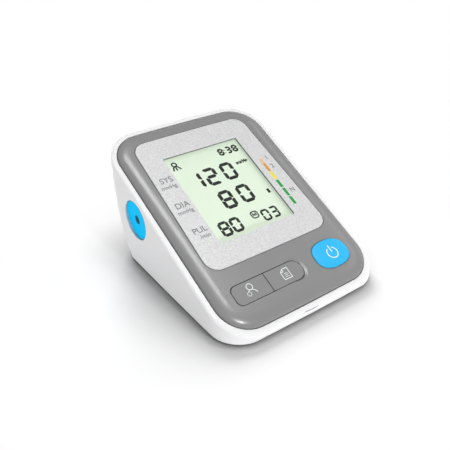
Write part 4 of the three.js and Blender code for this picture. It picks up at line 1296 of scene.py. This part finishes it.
class MONITOR_OT_underside(Operator):
    """Builds the battery cover, the feet, the case screws and the cells with their springs"""
    bl_idname = "monitor.underside"
    bl_label = "Underside"

    def door(self):
        half, front, back, _ = bay_box()
        ridge, top = span("battery_cover")[4:]
        half -= GAP
        wide = half + TONGUE
        ends = front + GAP, back + DOOR_BLANK
        slab = level(block(-half, half, *ends, 0, top))
        boolean(slab, "UNION", level(block(-wide, wide, *ends, FLOOR_TOP + GAP, top)))
        boolean(slab, "INTERSECT", level(case_body()))
        for index in range(RIDGES):
            y = back - RIDGE_PITCH * (index + 1) - RIDGE_SHIFT
            side = arc(y, FOOT_HEIGHT, FOOT_HEIGHT - ridge, 180, 360, 10)
            side += [(y + spread, FOOT_HEIGHT + RIDGE_ROOT) for spread in (RIDGE_SPREAD, -RIDGE_SPREAD)]
            grip = loft([[Vector((x, *p)) for p in side] for x in (-RIDGE_HALF, RIDGE_HALF)])
            boolean(slab, "UNION", level(grip))
        arrow = prism([(x, back + y) for x, y in ARROW], 0, FOOT_HEIGHT + ARROW_DEPTH)
        boolean(slab, "DIFFERENCE", level(arrow))
        white = bpy.data.materials["white_plastic"]
        piece("battery_door_shell", slab, white, ["battery_cover"], "battery_door")

    def feet(self):
        pad = rubber("foot_rubber", paint("rubber"))
        for number, (x, y, _, top) in enumerate(four("foot"), 1):
            ring = circle(x, y, sizes().foot_radius)
            base = rounded_edge(ring, 0, FOOT_EDGE, 6, False)
            foot = level(loft([*base, *rounded_edge(ring, top, SEAT_EDGE, 2)]))
            piece(f"foot_pad_{number}", foot, pad, [f"foot_{number}"])

    def screws(self):
        zinc = metal("zinc", linear(0xC6C8CA), 0.28)
        for number, (x, y, low, high) in enumerate(four("case_screw"), 1):
            head, shank, point = [circle(x, y, radius, 48) for radius in SCREW_RADII]
            seat = low + HEAD_HEIGHT
            screw = level(loft([
                *rounded_edge(head, low, HEAD_EDGE, 7, False), flat(head(), seat), flat(shank(), seat),
                flat(shank(), high - SHANK_TIP), flat(point(), high),
            ]))
            cross = [level(block(x - a, x + a, y - b, y + b, low - 1, low + CROSS_DEPTH)) for a, b in CROSS]
            boolean(screw, "DIFFERENCE", *cross)
            piece(f"case_screw_head_{number}", screw, zinc, [f"case_screw_{number}"])

    def cells(self):
        sleeve = moulded("cell_sleeve", linear(0x34465A), 0.3, relief=0.0)
        band = moulded("cell_band", linear(0xB98A4A), 0.28, relief=0.0)
        tin = metal("cell_tin", linear(0xD2D3D2), 0.22)
        for number in range(1, 5):
            x0, x1, y0, y1, z0, z1 = span(f"battery_{number}")
            radius = (x1 - x0) / 2
            profile = [(radius - inset, z) for inset, z in CELL_WRAP] + CELL_TOP
            cell = loft(lathe(profile, 64))
            for face in cell.faces:
                centre = face.calc_center_median()
                bare = centre.z < CAN_FOOT or centre.z > CAP_START and centre.xy.length < radius - CAN_INSET
                face.material_index = 2 if bare else int(centre.z > BAND_START)
            foot, angle = (y1, 90) if number % 2 == 0 else (y0, -90)
            place = Matrix.Translation(((x0 + x1) / 2, foot, (z0 + z1) / 2))
            turn = Matrix.Rotation(math.radians(angle), 4, "X")
            made = loose(cell, BODY @ place @ turn)
            piece(f"cell_{number}", made, [sleeve, band, tin], [f"battery_{number}"])

    def contacts(self):
        nickel = metal("nickel", linear(0xCFCFC8), 0.26)
        for node, number, way in CONTACTS:
            x0, x1, y0, y1, z0, z1 = span(node)
            low, high, _, _, under, over = span(f"battery_{number}")
            ends = (y0, y0 + SHEET) if way > 0 else (y1 - SHEET, y1)
            root = ends[way > 0] + way * WIRE
            spring = coil((low + high) / 2, root, (under + over) / 2, way * (y1 - y0 - SHEET - SPRING_ROOM))
            made = level(joined(block(x0, x1, *ends, z0, z1), spring))
            piece(node + "_plate", made, nickel, [node])

    def execute(self, context):
        self.door()
        self.feet()
        self.screws()
        self.cells()
        self.contacts()
        return {"FINISHED"}


class MONITOR_OT_inside(Operator):
    """Gives the pieces inside the case their finishes"""
    bl_idname = "monitor.inside"
    bl_label = "Inside finishes"

    def execute(self, context):
        black = moulded("black_plastic", linear(0x1D1D1F), 0.45)
        natural = moulded("natural_plastic", linear(0xE6E3D6), 0.5)
        steel = metal("plated_steel", linear(0xC4C6C8), 0.3)
        soft = rubber("black_rubber", paint("rubber"))
        strip = rubber("grey_rubber", linear(0xB5B8BB))
        hose = moulded("clear_hose", linear(0xD9DCDC), 0.45)
        board = circuit_board("circuit_board")
        nickel = bpy.data.materials["nickel"]
        groups = [
            (black, ["controller_chip", "buzzer", "pressure_sensor", "socket_nut", "exhaust_valve"]),
            (black, [key + part for key in ("power", "user", "memory") for part in ("_plunger", "_switch")]),
            (natural, ["lcd_holder", "backlight_panel", "air_tee", "pump_head"]),
            (steel, ["pump_shaft", "pump_motor", *(f"board_screw_{number}" for number in range(1, 5))]),
            (soft, ["pump_sleeve"]),
            (strip, ["display_connector"]),
            (hose, ["pump_hose", "valve_hose", "socket_hose", "sensor_hose"]),
            (board, ["main_board"]),
            (nickel, ["positive_terminal"]),
        ]
        for finish, names in groups:
            for name in names:
                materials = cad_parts[name].data.materials
                materials.clear()
                materials.append(finish)
        return {"FINISHED"}


# Camera of the photograph: place, heading and height in the part's frame, and the lens.
CAMERA_PLACE = Vector((-0.17191, -0.22370, 0.20304))
CAMERA_HEADING = math.radians(-35.84)
CAMERA_RISE = math.radians(32.61)
FOCAL_PIXELS = 578.4
PHOTO_PIXELS = 450
SENSOR = 36.0

# The floor is paler to the camera than to the light that it throws back.
FLOOR_BOUNCE = (0.3, 0.3, 0.3)
FLOOR_SEEN = (0.99, 0.99, 0.99)
# Near the case the floor's seen colour darkens towards this share where it is enclosed within the reach: a
# painted contact shadow on top of the lamps' real shadows.
CONTACT_SHADE = 0.28
CONTACT_REACH = 0.036
SHADE_CENTRE = (0.0, -0.045, 0.0)
SHADE_END = (0.095, 0.17)
FLOOR_RADIUS = 3000
FLOOR_THICKNESS = 20
SKY = 0.1

# Lamps: name, place, aim, width and length, power, and whether surfaces mirror it
FILL = (0.9, 0.14)
LAMPS = [
    ("overhead_strip", (0.14, 0.06, 0.8), (0.02, 0.0, 0.03), (0.5, 0.13), 1.42, True),
    ("corner_glint", (0.035, -0.55, 0.75), (-0.04, -0.05, 0.02), (0.035, 0.12), 1.1, True),
    ("right_glint", (0.75, 0.0, 0.75), (0.04, 0.0, 0.04), (0.6, 0.06), 0.3, True),
    ("left_fill", (-1.0, 0.1, 0.12), (0, 0, 0.03), FILL, 5.3, False),
    ("front_fill", (0.2, -1.0, 0.1), (0, 0, 0.03), FILL, 8.5, False),
    ("right_fill", (0.95, 0.2, 0.15), (0, 0, 0.03), FILL, 2.2, False),
]
SUN_PLACE = (0.25, 0.72, 0.57)
SUN_SPREAD = math.radians(32.0)
SUN_STRENGTH = 2.4


class MONITOR_OT_stage(Operator):
    """Adds the pale floor, the soft lights and the camera"""
    bl_idname = "monitor.stage"
    bl_label = "Stage"

    def floor(self):
        ground = level(rod(0, 0, FLOOR_RADIUS, -FLOOR_THICKNESS, 0, 96))
        ground.name = "floor"
        finish = Finish("floor_white")
        ground.data.materials.append(finish.surface(base_color=FLOOR_BOUNCE, roughness=1.0))
        # Painted contact shadow: the seen floor darkens where the case encloses it.
        shade = finish.blend(scaled(FLOOR_SEEN, CONTACT_SHADE), FLOOR_SEEN, finish.openness(CONTACT_REACH))
        distance = finish.node("ShaderNodeVectorMath", {"operation": "DISTANCE"},
                               {0: finish.place, 1: SHADE_CENTRE}, "Value")
        away = finish.node("ShaderNodeMapRange", {"interpolation_type": "SMOOTHSTEP"},
                           {"Value": distance, "From Min": SHADE_END[0], "From Max": SHADE_END[1]})
        near = finish.node("ShaderNodeBsdfDiffuse", None, {"Color": shade})
        seen = finish.mix(away, near, finish.node("ShaderNodeEmission"))
        shown = finish.rays("Camera", "Glossy", "Transmission")
        finish.put(finish.end, finish.mix(shown, finish.shader, seen))

    def world(self):
        world = bpy.data.worlds.new("studio")
        bpy.context.scene.world = world
        world.use_nodes = True
        nodes = Nodes(world.node_tree, "ShaderNodeOutputWorld")
        soft, white = [nodes.node("ShaderNodeBackground", None, {"Color": WHITE, "Strength": strength})
                       for strength in (SKY, 1.0)]
        nodes.put(nodes.end, nodes.mix(nodes.rays("Camera", "Transmission"), soft, white))

    def light(self, kind, name, place, aim, power, mirrored, **settings):
        data = bpy.data.lights.new(name, kind)
        data.energy = power
        for setting, value in settings.items():
            setattr(data, setting, value)
        holder = placed(name, data)
        holder.location = place
        holder.rotation_euler = (Vector(aim) - Vector(place)).to_track_quat("-Z", "Y").to_euler()
        holder.visible_glossy = mirrored

    def camera(self):
        data = bpy.data.cameras.new("photo_camera")
        data.sensor_width = SENSOR
        data.sensor_fit = "HORIZONTAL"
        data.lens = FOCAL_PIXELS / PHOTO_PIXELS * SENSOR
        data.clip_start = 0.01
        holder = placed("photo_camera", data)
        back = Vector((math.sin(CAMERA_HEADING) * math.cos(CAMERA_RISE),
                       -math.cos(CAMERA_HEADING) * math.cos(CAMERA_RISE), math.sin(CAMERA_RISE)))
        right = Vector((math.cos(CAMERA_HEADING), math.sin(CAMERA_HEADING), 0))
        turn = Matrix((right, back.cross(right), back)).transposed()
        holder.matrix_world = Matrix.Translation(CAMERA_PLACE) @ turn.to_4x4()
        bpy.context.scene.camera = holder

    def execute(self, context):
        context.scene.view_settings.view_transform = "Standard"
        self.floor()
        self.world()
        self.camera()
        for name, place, aim, (wide, long), power, mirrored in LAMPS:
            self.light("AREA", name, place, aim, power, mirrored, shape="RECTANGLE", size=wide, size_y=long)
        self.light("SUN", "key_sun", SUN_PLACE, (0, 0, 0), SUN_STRENGTH, False, angle=SUN_SPREAD)
        return {"FINISHED"}


STEPS = (
    MONITOR_OT_case, MONITOR_OT_cover, MONITOR_OT_plate, MONITOR_OT_display, MONITOR_OT_legends,
    MONITOR_OT_power_key, MONITOR_OT_flat_keys, MONITOR_OT_port, MONITOR_OT_underside, MONITOR_OT_inside,
    MONITOR_OT_stage,
)


class MONITOR_PT_panel(Panel):
    """Lists the building steps with the sizes and colours"""
    bl_idname = "MONITOR_PT_panel"
    bl_label = "Blood pressure monitor"
    bl_space_type = "VIEW_3D"
    bl_region_type = "UI"
    bl_category = "Monitor"

    def draw(self, context):
        for group in (context.scene.monitor_sizes, context.scene.monitor_colours):
            box = self.layout.box()
            for name in type(group).__annotations__:
                box.prop(group, name)
        for step in STEPS:
            self.layout.operator(step.bl_idname)


CLASSES = (MonitorSizes, MonitorColours, *STEPS, MONITOR_PT_panel)


def register():
    for each in CLASSES:
        bpy.utils.register_class(each)
    bpy.types.Scene.monitor_sizes = PointerProperty(type=MonitorSizes)
    bpy.types.Scene.monitor_colours = PointerProperty(type=MonitorColours)


def unregister():
    del bpy.types.Scene.monitor_colours
    del bpy.types.Scene.monitor_sizes
    for each in reversed(CLASSES):
        bpy.utils.unregister_class(each)


def main():
    register()
    for step in STEPS:
        getattr(bpy.ops.monitor, step.bl_idname.split(".")[1])()


if __name__ == "__main__":
    main()
